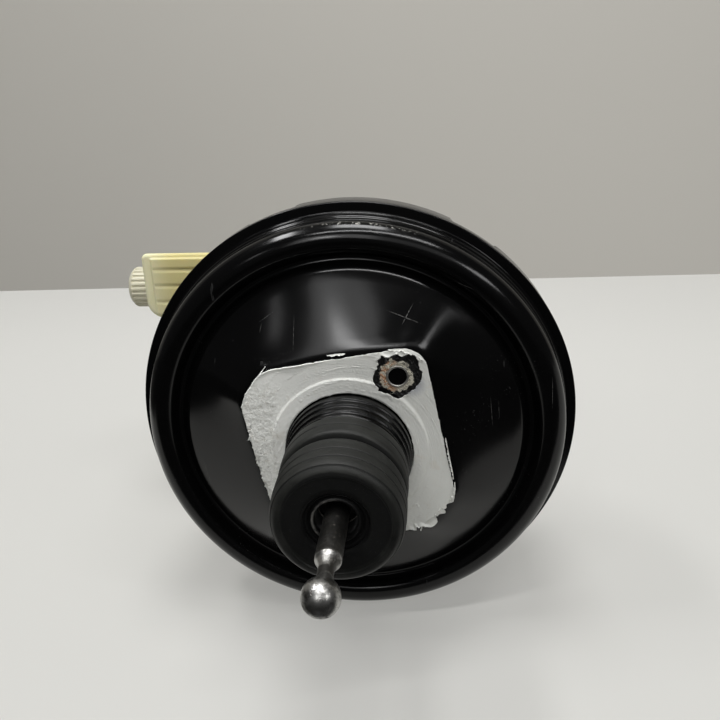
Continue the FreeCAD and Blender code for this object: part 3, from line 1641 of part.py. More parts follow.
def level_switch():
    """Sensor on the tank's far wall, beside the float, with a plug socket."""
    place = {"x": "-float_place", "y": "shell_length + tank_far", "z": "post_height"}
    body = new_body("level_switch", **place)
    turned(body, [
        ("0", "seat_gap"),
        ("switch_radius", "seat_gap"),
        ("switch_radius", "switch_length"),
        ("0", "switch_length"),
    ])
    plug = cross_sketch(body, "switch_length / 2")
    rectangle(plug, "0", "switch_radius + plug_length", "-plug_height / 2", "plug_height / 2")
    padded(body, plug, "plug_width / 2", reverse=True)
    socket = new_sketch(body, "YZ_Plane", "switch_radius + plug_length")
    rectangle(socket, "switch_length / 2 + seat_gap * 20", "switch_length / 2 + plug_width / 2 - seat_gap * 20",
              "-(plug_height / 2 - seat_gap * 20)", "plug_height / 2 - seat_gap * 20")
    pocket(body, socket, "plug_length * 0.7")


# Vacuum check valve: its bodies stand on the front plate

def check_body(label):
    return new_body(label, x="check_x", y="shell_length", z="-check_z")


def check_valve_grommet():
    body = check_body("check_valve_grommet")
    inner = "check_stem_radius + seat_gap"
    waist = "check_hole_radius - seat_gap"
    turned(body, [
        (inner, "-(wall + check_lip)"),
        (waist + " + check_lip / 2", "-(wall + seat_gap)"),
        (waist, "-(wall + seat_gap)"),
        (waist, "seat_gap"),
        (waist + " + check_lip", "seat_gap"),
        (waist + " + check_lip", "check_lip"),
        (inner, "check_lip"),
    ])


def check_valve_body():
    """Valve housing with a stem in the grommet, and a nipple with a collar that stops the hose."""
    body = check_body("check_valve_body")
    seat = "check_lip + seat_gap * 2"
    top = "check_lip + check_body_height"
    turned(body, [
        ("0", "-check_stem_length"),
        ("check_stem_radius", "-check_stem_length"),
        ("check_stem_radius", seat),
        ("check_head_radius", seat),
        ("check_head_radius", top + " - check_lip"),
        ("check_head_radius - check_lip", top),
        ("0", top),
    ])
    nipple = new_sketch(body, "YZ_Plane")
    circle(nipple, "nipple_radius", top + " - check_lip - nipple_radius", "0")
    padded(body, nipple, "nipple_reach")
    collar = new_sketch(body, "YZ_Plane")
    circle(collar, "nipple_radius + nipple_collar_width", top + " - check_lip - nipple_radius", "0")
    padded(body, collar, "check_head_radius + nipple_collar")
    turned_cut(body, [
        ("0", "-check_stem_length"),
        ("check_inlet_radius", "-check_stem_length"),
        ("check_inlet_radius", seat),
        ("check_chamber_radius", seat),
        ("check_chamber_radius", top + " - check_lip"),
        ("0", top + " - check_lip"),
    ])
    bore = new_sketch(body, "YZ_Plane")
    circle(bore, "nipple_bore", top + " - check_lip - nipple_radius", "0")
    pocket(body, bore, "nipple_reach", reverse=True)


def check_valve_disc():
    body = check_body("check_valve_disc")
    seat = "check_lip + seat_gap * 2 + free_gap"
    turned(body, [
        ("0", seat),
        ("check_disc_radius", seat),
        ("check_disc_radius", seat + " + check_disc_thickness"),
        ("0", seat + " + check_disc_thickness"),
    ])


def check_valve_spring():
    start = "check_lip + seat_gap * 2 + free_gap * 2 + check_disc_thickness"
    end = "check_body_height - seat_gap"
    place = [("x", "check_x"), ("y", "shell_length"), ("z", "-check_z")]
    coil("check_valve_spring", "check_wire", start, end, "check_coil_radius", "check_coil_radius",
         PISTON_TURNS, place)


def check_and_write():
    """Stops on any failed object, then writes one file for each sub-part."""
    document.recompute()
    for item in document.Objects:
        if "Invalid" in item.State or "Error" in item.State:
            raise ValueError("failed: " + item.Label)
    os.makedirs("parts", exist_ok=True)
    for part in sub_parts:
        if part.Shape.isNull() or not part.Shape.isValid():
            raise ValueError("no valid shape: " + part.Label)
        part.Shape.exportStep("parts/" + part.Label + ".step")


rear_shell()
mounting_gasket()
through_sleeves()
neck_seal()
guide_bush()
seal_retainer()
dust_boot()
front_shell()
valve_body()
stop_key()
diaphragm_plate()
diaphragm()
sleeve_seals()
reaction_disc()
output_rod()
rod_retainer()
return_spring()
valve_plunger()
input_rod()
spring_seat()
poppet_valve()
poppet_retainer()
valve_springs()
filter_rings()
master_cylinder_body()
mc_seal()
mc_guide_ring()
mc_circlip()
mc_studs()
mc_nuts()
primary_piston()
secondary_piston()
piston_cups("primary_cups", cup_places()[:1])
piston_cups("secondary_cups", cup_places()[1:])
stop_pin()
piston_springs()
reservoir()
reservoir_grommets()
reservoir_pin()
reservoir_cap()
cap_seal()
level_float()
level_switch()
check_valve_grommet()
check_valve_body()
check_valve_disc()
check_valve_spring()
check_and_write()
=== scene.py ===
"""Looks of a vacuum brake booster with its master cylinder and fluid reservoir.

Most shapes are surfaces worked out as arrays in millimetres and put into meshes in metres; the others are
the solids themselves or smoothed copies of them.
The Y axis is the booster's axis, the pedal is at -Y and Z is up.
"""

import json

import bmesh
import bpy
import numpy as np
from mathutils import Matrix


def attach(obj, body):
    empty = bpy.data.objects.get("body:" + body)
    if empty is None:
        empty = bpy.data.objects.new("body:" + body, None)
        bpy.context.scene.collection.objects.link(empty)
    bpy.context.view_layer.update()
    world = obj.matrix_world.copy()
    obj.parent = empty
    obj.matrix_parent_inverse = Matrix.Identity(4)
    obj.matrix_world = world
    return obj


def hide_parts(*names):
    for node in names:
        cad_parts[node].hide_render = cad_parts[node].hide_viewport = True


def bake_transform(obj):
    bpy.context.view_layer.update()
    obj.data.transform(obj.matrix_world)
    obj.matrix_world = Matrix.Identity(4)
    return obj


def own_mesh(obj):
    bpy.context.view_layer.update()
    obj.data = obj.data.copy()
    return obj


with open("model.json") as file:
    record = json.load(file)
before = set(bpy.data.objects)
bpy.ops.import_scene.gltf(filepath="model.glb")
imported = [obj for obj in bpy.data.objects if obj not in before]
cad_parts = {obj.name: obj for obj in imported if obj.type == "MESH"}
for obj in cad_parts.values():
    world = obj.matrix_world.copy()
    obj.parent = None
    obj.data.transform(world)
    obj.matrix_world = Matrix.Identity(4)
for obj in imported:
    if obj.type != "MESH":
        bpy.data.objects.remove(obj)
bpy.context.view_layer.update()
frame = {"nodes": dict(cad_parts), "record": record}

MM = 0.001
TURN = 2 * np.pi

# Places that several pieces share, as the solids have them, in millimetres
PAD_TURN = np.radians(9.5)
SLEEVE = 55.5 * np.array([np.cos(np.radians(58.6)), np.sin(np.radians(58.6))])
# Radius and depth of the dome's outer edge, and radius of the bead on the rear shell's rim
DOME = (104.5, 23.5)
BEAD = 128.6
# Bearings of the gaps between the crimped lobes
LOBE_GAPS = np.radians([27.0, 57.5, 110.0, 207.0, 237.5, 290.0])
# Depth of the face that the master cylinder is bolted to, and height of the floor
PLATE = 144.0
FLOOR = -138.0
# Reservoir: its near and far faces, the filler's line and the heights of the furrows
TANK_NEAR, TANK_FAR = PLATE + 9.5, PLATE + 96.0
FILLER = (PLATE + 49.5, 49.5)
FURROWS = (73.4, 60.65, 47.9)
# Boot: where its clean folds end, its deep groove, its fine creases and its end face
BOOT_CLEAN = -23.5
BOOT_GROOVE = -45.2
BOOT_CREASES = (-34.1, -57.7, -64.9, -71.7)
BOOT_FACE = -73.6


# Shader expressions

class Sock:
    """A shader socket. Sums, products and comparisons of sockets add Math nodes."""

    def __init__(self, paint, socket):
        self.paint = paint
        self.socket = socket

    def math(self, operation, *others):
        return self.paint.node("Math", {"operation": operation}, (self,) + others)

    def __add__(self, other):
        return self.math("ADD", other)

    def __sub__(self, other):
        return self.math("SUBTRACT", other)

    def __mul__(self, other):
        return self.math("MULTIPLY", other)

    def __pow__(self, other):
        return self.math("POWER", other)

    def __rsub__(self, other):
        return self.paint.number(other).math("SUBTRACT", self)

    __radd__ = __add__
    __rmul__ = __mul__

    def above(self, other):
        return self.math("MAXIMUM", other)

    def below(self, other):
        return self.math("MINIMUM", other)

    def size(self):
        return self.math("ABSOLUTE")

    def step(self, low, high):
        """Rises from 0 at low to 1 at high, and falls where low is the larger."""
        if low > high:
            return 1.0 - self.step(high, low)
        settings = {"interpolation_type": "SMOOTHSTEP"}
        return self.paint.node("MapRange", settings, {"Value": self, "From Min": low, "From Max": high})

    def near(self, value, width):
        """1 where the socket is at value, and 0 from width away."""
        return (self - value).size().step(width, 0.0)


class Paint:
    """A material, with the nodes that make its colour, gloss and relief."""

    def __init__(self, name, **plain):
        self.material = bpy.data.materials.new(name)
        self.material.use_nodes = True
        self.tree = self.material.node_tree
        self.shader = self.tree.nodes["Principled BSDF"]
        for key, value in plain.items():
            self.shader.inputs[key.replace("_", " ")].default_value = value
        self.place = self.node("TexCoord", output="Object")
        self.x, self.y, self.z = (self.node("SeparateXYZ", inputs=(self.place,), output=axis) for axis in "XYZ")

    def node(self, kind, settings=None, inputs=(), output=0):
        """Adds one node: its settings first, then the values or links of its sockets."""
        node = self.tree.nodes.new("ShaderNode" + kind)
        for key, value in (settings or {}).items():
            if key == "stops":
                ramp = node.color_ramp
                while len(ramp.elements) < len(value):
                    ramp.elements.new(0.5)
                for element, (position, colour) in zip(ramp.elements, value):
                    element.position = position
                    element.color = (*colour, 1.0)
            else:
                setattr(node, key, value)
        pairs = inputs.items() if isinstance(inputs, dict) else enumerate(inputs)
        for key, value in pairs:
            if isinstance(value, Sock):
                self.tree.links.new(value.socket, node.inputs[key])
            else:
                node.inputs[key].default_value = value
        return Sock(self, node.outputs[output])

    def number(self, value):
        """A plain number as a socket, so that it can stand on the left of a sum."""
        return self.node("Math", {"operation": "ADD"}, (float(value), 0.0))

    def noise(self, scale, detail=3.0, rough=0.5, stretch=(1, 1, 1), warp=0.0):
        """Smooth random values between 0 and 1, scale bumps to a metre."""
        place = self.node("Mapping", {"vector_type": "POINT"}, {"Vector": self.place, "Scale": stretch})
        values = {"Vector": place, "Scale": scale, "Detail": detail, "Roughness": rough, "Distortion": warp}
        return self.node("TexNoise", {}, values)

    def mix(self, share, first, second):
        """Colour that goes from first to second with share."""
        colours = [c if isinstance(c, Sock) else (*c, 1.0) for c in (first, second)]
        node = self.tree.nodes.new("ShaderNodeMix")
        node.data_type = "RGBA"
        for socket, value in zip((node.inputs[0], node.inputs[6], node.inputs[7]), [share] + colours):
            if isinstance(value, Sock):
                self.tree.links.new(value.socket, socket)
            else:
                socket.default_value = value
        return Sock(self, node.outputs[2])

    def radius(self, first, second):
        """Distance from a line, from the two coordinates across it, in metres."""
        return (first * first + second * second) ** 0.5

    def set(self, **links):
        for key, value in links.items():
            self.tree.links.new(value.socket, self.shader.inputs[key.replace("_", " ")])
        return self

    def relief(self, height, depth, strength=1.0):
        """Raises the surface by height times depth, in metres."""
        bump = self.node("Bump", {}, {"Strength": strength, "Distance": depth, "Height": height})
        return self.set(Normal=bump)


# Surfaces

def mesh_object(name, points, faces):
    """A mesh from points in millimetres and faces of point numbers."""
    mesh = bpy.data.meshes.new(name)
    mesh.from_pydata((np.asarray(points, float) * MM).tolist(), [], [list(map(int, face)) for face in faces])
    mesh.update()
    thing = bpy.data.objects.new(name, mesh)
    bpy.context.scene.collection.objects.link(thing)
    return thing


def grid_faces(rows, columns, close_rows, close_columns):
    """Quads between neighbouring points of a grid that may wrap round either way."""
    row = np.arange(rows if close_rows else rows - 1)[:, None]
    column = np.arange(columns if close_columns else columns - 1)[None, :]
    below = (row + 1) % rows
    beside = (column + 1) % columns
    corners = [row * columns + column, row * columns + beside, below * columns + beside, below * columns + column]
    return np.stack([np.broadcast_to(c, (row.size, column.size)) for c in corners], -1).reshape(-1, 4)


def finish_mesh(thing, weld=0.002, sharp=None):
    """Merges doubled points, turns the faces outwards and shades them smooth up to the sharp angle."""
    work = bmesh.new()
    work.from_mesh(thing.data)
    bmesh.ops.remove_doubles(work, verts=work.verts, dist=weld * MM)
    bmesh.ops.dissolve_degenerate(work, edges=work.edges, dist=1e-7)
    bmesh.ops.recalc_face_normals(work, faces=work.faces)
    work.to_mesh(thing.data)
    work.free()
    thing.data.polygons.foreach_set("use_smooth", np.ones(len(thing.data.polygons), bool))
    if sharp:
        thing.data.set_sharp_from_angle(angle=np.radians(sharp))
    return thing


def surface(name, grid, close_rows=True, sharp=None):
    """A closed skin over a grid of points: its first axis runs along the profile, its second round it."""
    faces = grid_faces(*grid.shape[:2], close_rows, True)
    return finish_mesh(mesh_object(name, grid.reshape(-1, 3), faces), sharp=sharp)


def joined(name, parts):
    """One object from several closed pieces of (points, faces)."""
    points, faces, start = [], [], 0
    for part_points, part_faces in parts:
        part_points = np.asarray(part_points).reshape(-1, 3)
        points.append(part_points)
        faces.extend((np.asarray(part_faces) + start).tolist())
        start += len(part_points)
    return mesh_object(name, np.concatenate(points), faces)


def soft_profile(corners, cuts, steps=6):
    """Rounds the corners of a line by true arcs. corners is an array of (count, ..., 2), and cuts gives how far
    from each corner its arc starts: a point of the arc is the weighted mean of the corner and its two ends."""
    corners = np.asarray(corners, float)
    before = np.roll(corners, 1, 0)
    after = np.roll(corners, -1, 0)
    lines = []
    share = np.linspace(0, 1, steps)
    for index, cut in enumerate(cuts):
        corner = corners[index]
        if cut <= 0:
            lines.append(corner[None])
            continue
        back = before[index] - corner
        ahead = after[index] - corner
        back_length = np.linalg.norm(back, axis=-1, keepdims=True)
        ahead_length = np.linalg.norm(ahead, axis=-1, keepdims=True)
        back = back / back_length
        ahead = ahead / ahead_length
        reach = np.minimum(cut, 0.48 * np.minimum(back_length, ahead_length))
        start = corner + back * reach
        end = corner + ahead * reach
        weight = np.sqrt(np.clip((1 - np.sum(back * ahead, -1, keepdims=True)) / 2, 0, 1))
        t = share.reshape((-1,) + (1,) * corner.ndim)
        a = (1 - t) ** 2
        b = 2 * t * (1 - t) * weight
        c = t ** 2
        lines.append((a * start + b * corner + c * end) / (a + b + c))
    return np.concatenate(lines, 0)


def spread(line, step):
    """The same line with points at most step apart, along its first axis."""
    gaps = np.linalg.norm(np.diff(line, axis=0), axis=-1)
    while gaps.ndim > 1:
        gaps = gaps.max(-1)
    pieces = []
    for index, gap in enumerate(gaps):
        count = max(1, int(np.ceil(gap / step)))
        share = (np.arange(count) / count).reshape((-1,) + (1,) * (line.ndim - 1))
        pieces.append(line[index] * (1 - share) + line[index + 1] * share)
    return np.concatenate(pieces + [line[-1:]], 0)


def turned_grid(profile, columns):
    """Carries a profile of (radius, depth) round the Y axis. The profile may differ with the angle."""
    angle = np.arange(columns) / columns * TURN
    profile = np.asarray(profile, float)
    if profile.ndim == 2:
        profile = np.repeat(profile[:, None], columns, 1)
    radius, depth = profile[..., 0], profile[..., 1]
    return np.stack([radius * np.cos(angle), depth, radius * np.sin(angle)], -1)


def add(piece, body, slot, *nodes, paint=None):
    """Puts a piece under its body with the paint of its record slot or its own paint, and hides the nodes that it
    stands for.
    """
    piece.data.materials.clear()
    piece.data.materials.append((paint or PAINTS[slot]).material)
    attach(piece, body)
    if nodes:
        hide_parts(*nodes)
    return piece


# Paints

def shell_paint():
    """Gloss black paint with dust, fine scratches and worn edges."""
    paint = Paint("shell_paint", Specular_IOR_Level=0.28)
    haze = paint.noise(22.0, 4.0)
    dust = paint.noise(900.0, 2.0).step(0.68, 0.76) * haze.step(0.45, 0.7)
    swirl = paint.noise(160.0, 2.0, 0.5, (1.0, 1.0, 0.12), 0.4).step(0.74, 0.765)
    radius = paint.radius(paint.x, paint.z)
    chips = paint.noise(620.0, 3.0).step(0.56, 0.62)
    chips = chips * radius.near(BEAD * MM, 0.0009) * paint.z.step(0.09, 0.11) * paint.y.step(0.036, 0.03)
    chips = chips * paint.x.near(0.009, 0.042)
    marks = scratch_marks(paint)
    base = paint.mix(haze, (0.0012, 0.0012, 0.0013), (0.0023, 0.0023, 0.0024))
    base = paint.mix(dust * 0.22, base, (0.16, 0.16, 0.155))
    base = paint.mix(swirl * 0.1, base, (0.2, 0.2, 0.2))
    base = paint.mix(marks * 0.28, base, (0.45, 0.44, 0.42))
    base = paint.mix(chips * 0.8, base, (0.5, 0.49, 0.45))
    paint.set(Base_Color=base, Roughness=0.1 + haze * 0.12 + dust * 0.2 + marks * 0.2 + chips * 0.3)
    paint.relief(paint.noise(340.0, 2.0) * 0.4 + chips * -1.0 - marks * 0.4, 0.00002)
    return paint


def scratch_marks(paint):
    """Thin scratches: each is a narrow band about a line across X and Z, cut off at the line's ends."""
    # X and Z of the start, X and Z of the end, and half the width
    strokes = [
        (21.2, 82.7, 44.9, 74.0, 0.3), (38.2, 85.6, 30.9, 73.8, 0.35), (-29.7, 81.0, -30.0, 58.9, 0.18),
        (-49.1, 74.7, -50.3, 68.8, 0.18), (82.0, 30.0, 84.0, 8.0, 0.2), (87.0, 26.0, 88.0, 12.0, 0.15),
        (108.0, 2.0, 106.0, -30.0, 0.25), (118.0, 40.0, 119.0, 16.0, 0.2), (-52.0, 74.0, -40.0, 82.0, 0.15),
        (60.0, 96.0, 74.0, 90.0, 0.2), (12.0, 126.0, 22.0, 122.0, 0.2), (-96.0, -12.0, -92.0, -40.0, 0.15),
    ]
    total = None
    for x0, z0, x1, z1, width in strokes:
        length = np.hypot(x1 - x0, z1 - z0)
        dx, dz = (x1 - x0) / length, (z1 - z0) / length
        across = (paint.x * (-dz / MM) + paint.z * (dx / MM)) + (x0 * dz - z0 * dx)
        along = (paint.x * (dx / MM) + paint.z * (dz / MM)) - (x0 * dx + z0 * dz)
        mark = across.near(0.0, width) * along.near(length / 2, length / 2)
        total = mark if total is None else total.above(mark)
    wear = paint.noise(700.0, 2.0).step(0.3, 0.6)
    return total * wear * paint.y.step(0.03, 0.026)


def pale_gasket():
    """Pale coated gasket: mostly smooth, crumbly along its left edge, stained beside the upper sleeve. Painted light
    makes it paler towards the left, and painted shade darkens flecks along the crumbly left edge.
    """
    paint = Paint("gasket_paper", Specular_IOR_Level=0.4)
    cloud = paint.noise(45.0, 5.0, 0.6)
    grain = paint.noise(700.0, 3.0)
    creases = paint.noise(130.0, 4.0, 0.6, (1, 1, 1), 1.2)
    left_edge = paint.x.step(-0.036, -0.046) * paint.z.step(0.052, 0.03)
    stain = paint.radius(paint.x - 0.0385, paint.z - 0.0423)
    stain = (stain + (cloud - 0.5) * 0.008).step(0.008, 0.002)
    # Painted shade: darker flecks along the crumbly left edge
    crumb_shade = paint.noise(420.0, 4.0, 0.65).step(0.54, 0.66) * left_edge
    base = paint.mix(cloud, (0.66, 0.665, 0.625), (0.76, 0.765, 0.73))
    # Painted light: the sheet is painted paler towards the left
    base = paint.mix(paint.x.step(0.03, -0.045), base, (0.94, 0.945, 0.9))
    base = paint.mix(creases.step(0.55, 0.75) * 0.25, base, (0.62, 0.56, 0.46))
    base = paint.mix(crumb_shade * 0.35, base, (0.42, 0.38, 0.29))
    base = paint.mix(grain.step(0.72, 0.82) * 0.2, base, (0.36, 0.34, 0.3))
    base = paint.mix(stain * 0.55, base, (0.25, 0.27, 0.33))
    paint.set(Base_Color=base, Roughness=0.38 + cloud * 0.2)
    paint.relief(creases * 0.35 + grain * 0.1 + paint.noise(330.0, 4.0, 0.65) * left_edge * 4.0, 0.0005)
    return paint


def residue_paint():
    """Old sealant round a sleeve: cream and rusty next to the tube, black towards the ragged outside."""
    paint = Paint("residue")
    patches = paint.noise(260.0, 4.0, 0.6)
    fine = paint.noise(900.0, 3.0)
    left = (paint.x - SLEEVE[0] * MM).step(0.002, -0.004)
    radius = sleeve_distance(paint) + left * -0.0014
    wobble = radius + (patches - 0.5) * 0.009
    black = wobble.step(0.0084, 0.0091)
    rust = patches.step(0.47, 0.53) * left
    base = paint.mix(fine, (0.5, 0.475, 0.39), (0.74, 0.71, 0.6))
    base = paint.mix(rust * 0.75, base, (0.42, 0.17, 0.05))
    base = paint.mix(fine.step(0.62, 0.7) * 0.6, base, (0.1, 0.07, 0.05))
    base = paint.mix(black, base, (0.004, 0.004, 0.004))
    paint.set(Base_Color=base, Roughness=0.42 - black * 0.2 + patches * 0.2)
    paint.relief(patches + fine * 0.4, 0.0006)
    return paint


def boot_rubber():
    """Dull black rubber, dusty on top, clean and glossy near the shell. Painted shade darkens the end face and the
    recess round the hole, and the grooves and creases, which are also clean. Pale flecks on the lip's left side are
    partly wear and partly painted highlight.
    """
    paint = Paint("boot_rubber", Specular_IOR_Level=0.27)
    cloud = paint.noise(60.0, 4.0, 0.6)
    speck = paint.noise(1500.0, 2.0).step(0.68, 0.74)
    wipes = paint.noise(90.0, 3.0, 0.6, (1.0, 4.0, 1.0), 0.6)
    radius = paint.radius(paint.x, paint.z)
    clean = paint.y.step((BOOT_CLEAN - 2.5) * MM, BOOT_CLEAN * MM)
    # Grooves and creases: clean rubber, with painted shade that darkens them
    groove_clean_and_shade = paint.y.near(BOOT_GROOVE * MM, 0.0038).step(0.2, 0.6)
    for crease in BOOT_CREASES:
        groove_clean_and_shade = groove_clean_and_shade.above(paint.y.near(crease * MM, 0.0009) * 0.8)
    face = paint.y.step((BOOT_FACE + 1.4) * MM, BOOT_FACE * MM) * radius.step(0.0282, 0.0274)
    # Pale flecks on the left of the lip round the hole: partly wear, partly painted highlight
    lip_wear_and_highlight = radius.near(0.0118, 0.0014) * wipes.step(0.42, 0.6) * face * paint.x.step(0.004, -0.006)
    # Painted shade in the recess round the hole
    hub_recess_shade = radius.step(0.0188, 0.0178) * paint.y.step(-0.069, -0.07)
    dust = (cloud * 0.5 + wipes * 0.5).step(0.3, 0.7) * 0.6 + paint.z.step(-0.015, 0.03) * 0.4
    base = paint.mix(dust, (0.0026, 0.0029, 0.0025), (0.0245, 0.0252, 0.0226))
    # Painted shade: the end face is painted darker
    base = paint.mix(face * 0.85, base, (0.0028, 0.003, 0.003))
    # Near black: clean rubber near the shell, and painted shade in the grooves, creases and the recess round the hole
    base = paint.mix(clean.above(groove_clean_and_shade).above(hub_recess_shade), base, (0.001, 0.001, 0.001))
    base = paint.mix(speck * (1.0 - clean) * 0.16, base, (0.14, 0.14, 0.135))
    base = paint.mix(lip_wear_and_highlight * 0.6, base, (0.2, 0.195, 0.18))
    paint.set(Base_Color=base, Roughness=0.46 - clean * 0.3 + groove_clean_and_shade * 0.2 + face * 0.1 + cloud * 0.1)
    paint.relief(paint.noise(900.0, 3.0) + paint.noise(150.0, 3.0) * 0.6, 0.0001)
    return paint


def rod_steel():
    """Bright steel dulled by handling, with turning marks round it and dark oxide spots."""
    paint = Paint("rod_steel", Metallic=1.0)
    cloud = paint.noise(110.0, 5.0, 0.65)
    rings = paint.noise(260.0, 3.0, 0.6, (0.02, 12.0, 0.02))
    spots = paint.noise(520.0, 3.0).step(0.62, 0.7)
    base = paint.mix(cloud.step(0.4, 0.58), (0.08, 0.078, 0.072), (0.42, 0.416, 0.4))
    base = paint.mix(paint.y.step(-0.1065, -0.102) * 0.75, base, (0.06, 0.058, 0.054))
    base = paint.mix(spots * 0.6, base, (0.12, 0.1, 0.085))
    paint.set(Base_Color=base, Roughness=0.24 + cloud.step(0.7, 0.3) * 0.2 + rings * 0.06 + spots * 0.2)
    paint.relief(rings * 0.5 + spots * -0.6 + cloud * 0.3, 0.00008)
    return paint


def zinc_steel(name="zinc_steel", tone=(0.46, 0.44, 0.39), dull=0.36, bore=None):
    """Plated or bright sheet steel with cloudy patches. Inside the bore of a sleeve it is dull, and painted near black
    as shade.
    """
    paint = Paint(name, Metallic=1.0)
    cloud = paint.noise(150.0, 4.0, 0.6)
    dark = tuple(0.6 * part for part in tone)
    base = paint.mix(cloud, dark, tone)
    rust = paint.noise(420.0, 4.0).step(0.68, 0.74)
    base = paint.mix(rust * 0.5, base, (0.16, 0.08, 0.035))
    rough = dull + cloud * 0.15 + rust * 0.2
    if bore:
        # Painted shade: the bore is painted near black
        inside = sleeve_distance(paint).step((bore + 0.1) * MM, (bore - 0.1) * MM) * paint.y.step(-0.0012, -0.0004)
        base = paint.mix(inside, base, (0.012, 0.011, 0.01))
        rough = rough + inside * 0.3
    paint.set(Base_Color=base, Roughness=rough)
    paint.relief(cloud, 0.00006)
    return paint


def sleeve_distance(paint):
    """Distance from the nearer sleeve's own line, in metres."""
    upper, lower = (paint.radius(paint.x - sign * SLEEVE[0] * MM, paint.z - sign * SLEEVE[1] * MM) for sign in (1, -1))
    return upper.below(lower)


def tank_plastic():
    """Cream plastic. Painted shade makes it darker and yellower on the near face towards its wide end, and in the
    furrows.
    """
    paint = Paint("tank_plastic", Subsurface_Weight=0.2, Subsurface_Scale=0.01, Specular_IOR_Level=0.4)
    paint.shader.inputs["Subsurface Radius"].default_value = (1.0, 0.8, 0.4)
    cloud = paint.noise(35.0, 4.0, 0.6)
    # Painted shade: the near face is painted darker and yellower towards the tank's wide end
    inward_shade = paint.x.step(-0.176, -0.145) * paint.y.step(0.22, 0.165)
    base = paint.mix(cloud, (0.88, 0.85, 0.57), (0.93, 0.9, 0.64))
    base = paint.mix(inward_shade * 0.8, base, (0.68, 0.587, 0.227))
    for height in FURROWS:
        # Painted shade in the furrows
        furrow_shade = paint.z.near(height * MM, 0.0026) * paint.y.step(0.158, 0.154) * paint.x.step(-0.166, -0.14)
        base = paint.mix(furrow_shade * 0.35, base, (0.36, 0.31, 0.14))
    specks = paint.noise(1200.0, 2.0).step(0.72, 0.78)
    base = paint.mix(specks * 0.3, base, (0.3, 0.26, 0.16))
    paint.set(Base_Color=base, Roughness=0.4 + cloud * 0.15)
    paint.relief(paint.noise(500.0, 2.0), 0.00006)
    return paint


def moulded(name, dark, pale, dull=0.45, grain=800.0):
    """Moulded plastic or rubber of one hue with a fine grain and faint clouds."""
    paint = Paint(name)
    cloud = paint.noise(50.0, 4.0, 0.6)
    base = paint.mix(cloud, dark, pale)
    paint.set(Base_Color=base, Roughness=dull + cloud * 0.15)
    paint.relief(paint.noise(grain, 3.0), 0.00008)
    return paint


def cast_metal(name, tone, dull, grain=500.0, depth=0.0002):
    """Cast aluminium: a fine sandy skin with darker hollows."""
    paint = Paint(name, Metallic=1.0)
    sand = paint.noise(grain, 4.0, 0.7)
    cloud = paint.noise(30.0, 3.0)
    base = paint.mix(cloud * 0.5 + sand * 0.5, tuple(0.6 * part for part in tone), tone)
    paint.set(Base_Color=base, Roughness=dull + sand * 0.2)
    paint.relief(sand, depth)
    return paint


PAINTS = {
    "shell_paint": shell_paint(),
    "gasket_paper": pale_gasket(),
    "boot_rubber": boot_rubber(),
    "rod_steel": rod_steel(),
    "zinc_steel": zinc_steel(),
    "tank_plastic": tank_plastic(),
    "cap_plastic": moulded("cap_plastic", (0.6, 0.57, 0.42), (0.74, 0.71, 0.57), 0.36),
    "pressed_steel": zinc_steel("pressed_steel", (0.6, 0.6, 0.59), 0.28),
    "spring_steel": zinc_steel("spring_steel", (0.36, 0.36, 0.37), 0.3),
    "black_rubber": moulded("black_rubber", (0.018, 0.018, 0.018), (0.03, 0.03, 0.03), 0.6),
    "piston_resin": moulded("piston_resin", (0.05, 0.045, 0.04), (0.08, 0.075, 0.07), 0.45),
    "black_plastic": moulded("black_plastic", (0.014, 0.014, 0.015), (0.024, 0.024, 0.026), 0.38),
    "guide_plastic": moulded("guide_plastic", (0.6, 0.58, 0.5), (0.7, 0.68, 0.6), 0.4),
    "filter_foam": moulded("filter_foam", (0.03, 0.03, 0.03), (0.07, 0.07, 0.07), 0.8, 1500.0),
    "felt": moulded("felt", (0.35, 0.33, 0.3), (0.5, 0.48, 0.44), 0.85, 1800.0),
    "float_foam": moulded("float_foam", (0.1, 0.1, 0.1), (0.16, 0.16, 0.16), 0.7),
    "cast_aluminium": cast_metal("cast_aluminium", (0.6, 0.6, 0.59), 0.38),
    "piston_aluminium": cast_metal("piston_aluminium", (0.62, 0.6, 0.52), 0.22, 300.0, 0.00003),
}


# Shells

SHELL_COLUMNS = 480


def ring(radius, depth):
    """One corner of a shell's section all round the axis. Its radius may differ with the angle."""
    return np.stack([radius * np.ones(SHELL_COLUMNS), depth * np.ones(SHELL_COLUMNS)], -1)


def pad_radius(angle, inset=0.0):
    """Distance from the axis to the pad's edge at each angle: a leaning rectangle with two corners cut."""
    width, height, lean, cut, soft = 55.7 - inset, 58.7 - inset, 1.6, 17.0, 13.0
    half = np.array([
        (width - lean, height),
        (width + lean, -(height - cut)),
        (width + lean - cut, -height),
    ])
    corners = np.concatenate([half, -half])
    line = soft_profile(corners, [soft, 7.0, 7.0] * 2, 10)
    line = spread(np.concatenate([line, line[:1]]), 0.5)
    turned = np.arctan2(line[:, 1], line[:, 0]) + PAD_TURN
    order = np.argsort(turned % TURN)
    return np.interp(angle % TURN, (turned % TURN)[order], np.hypot(line[:, 0], line[:, 1])[order], period=TURN)


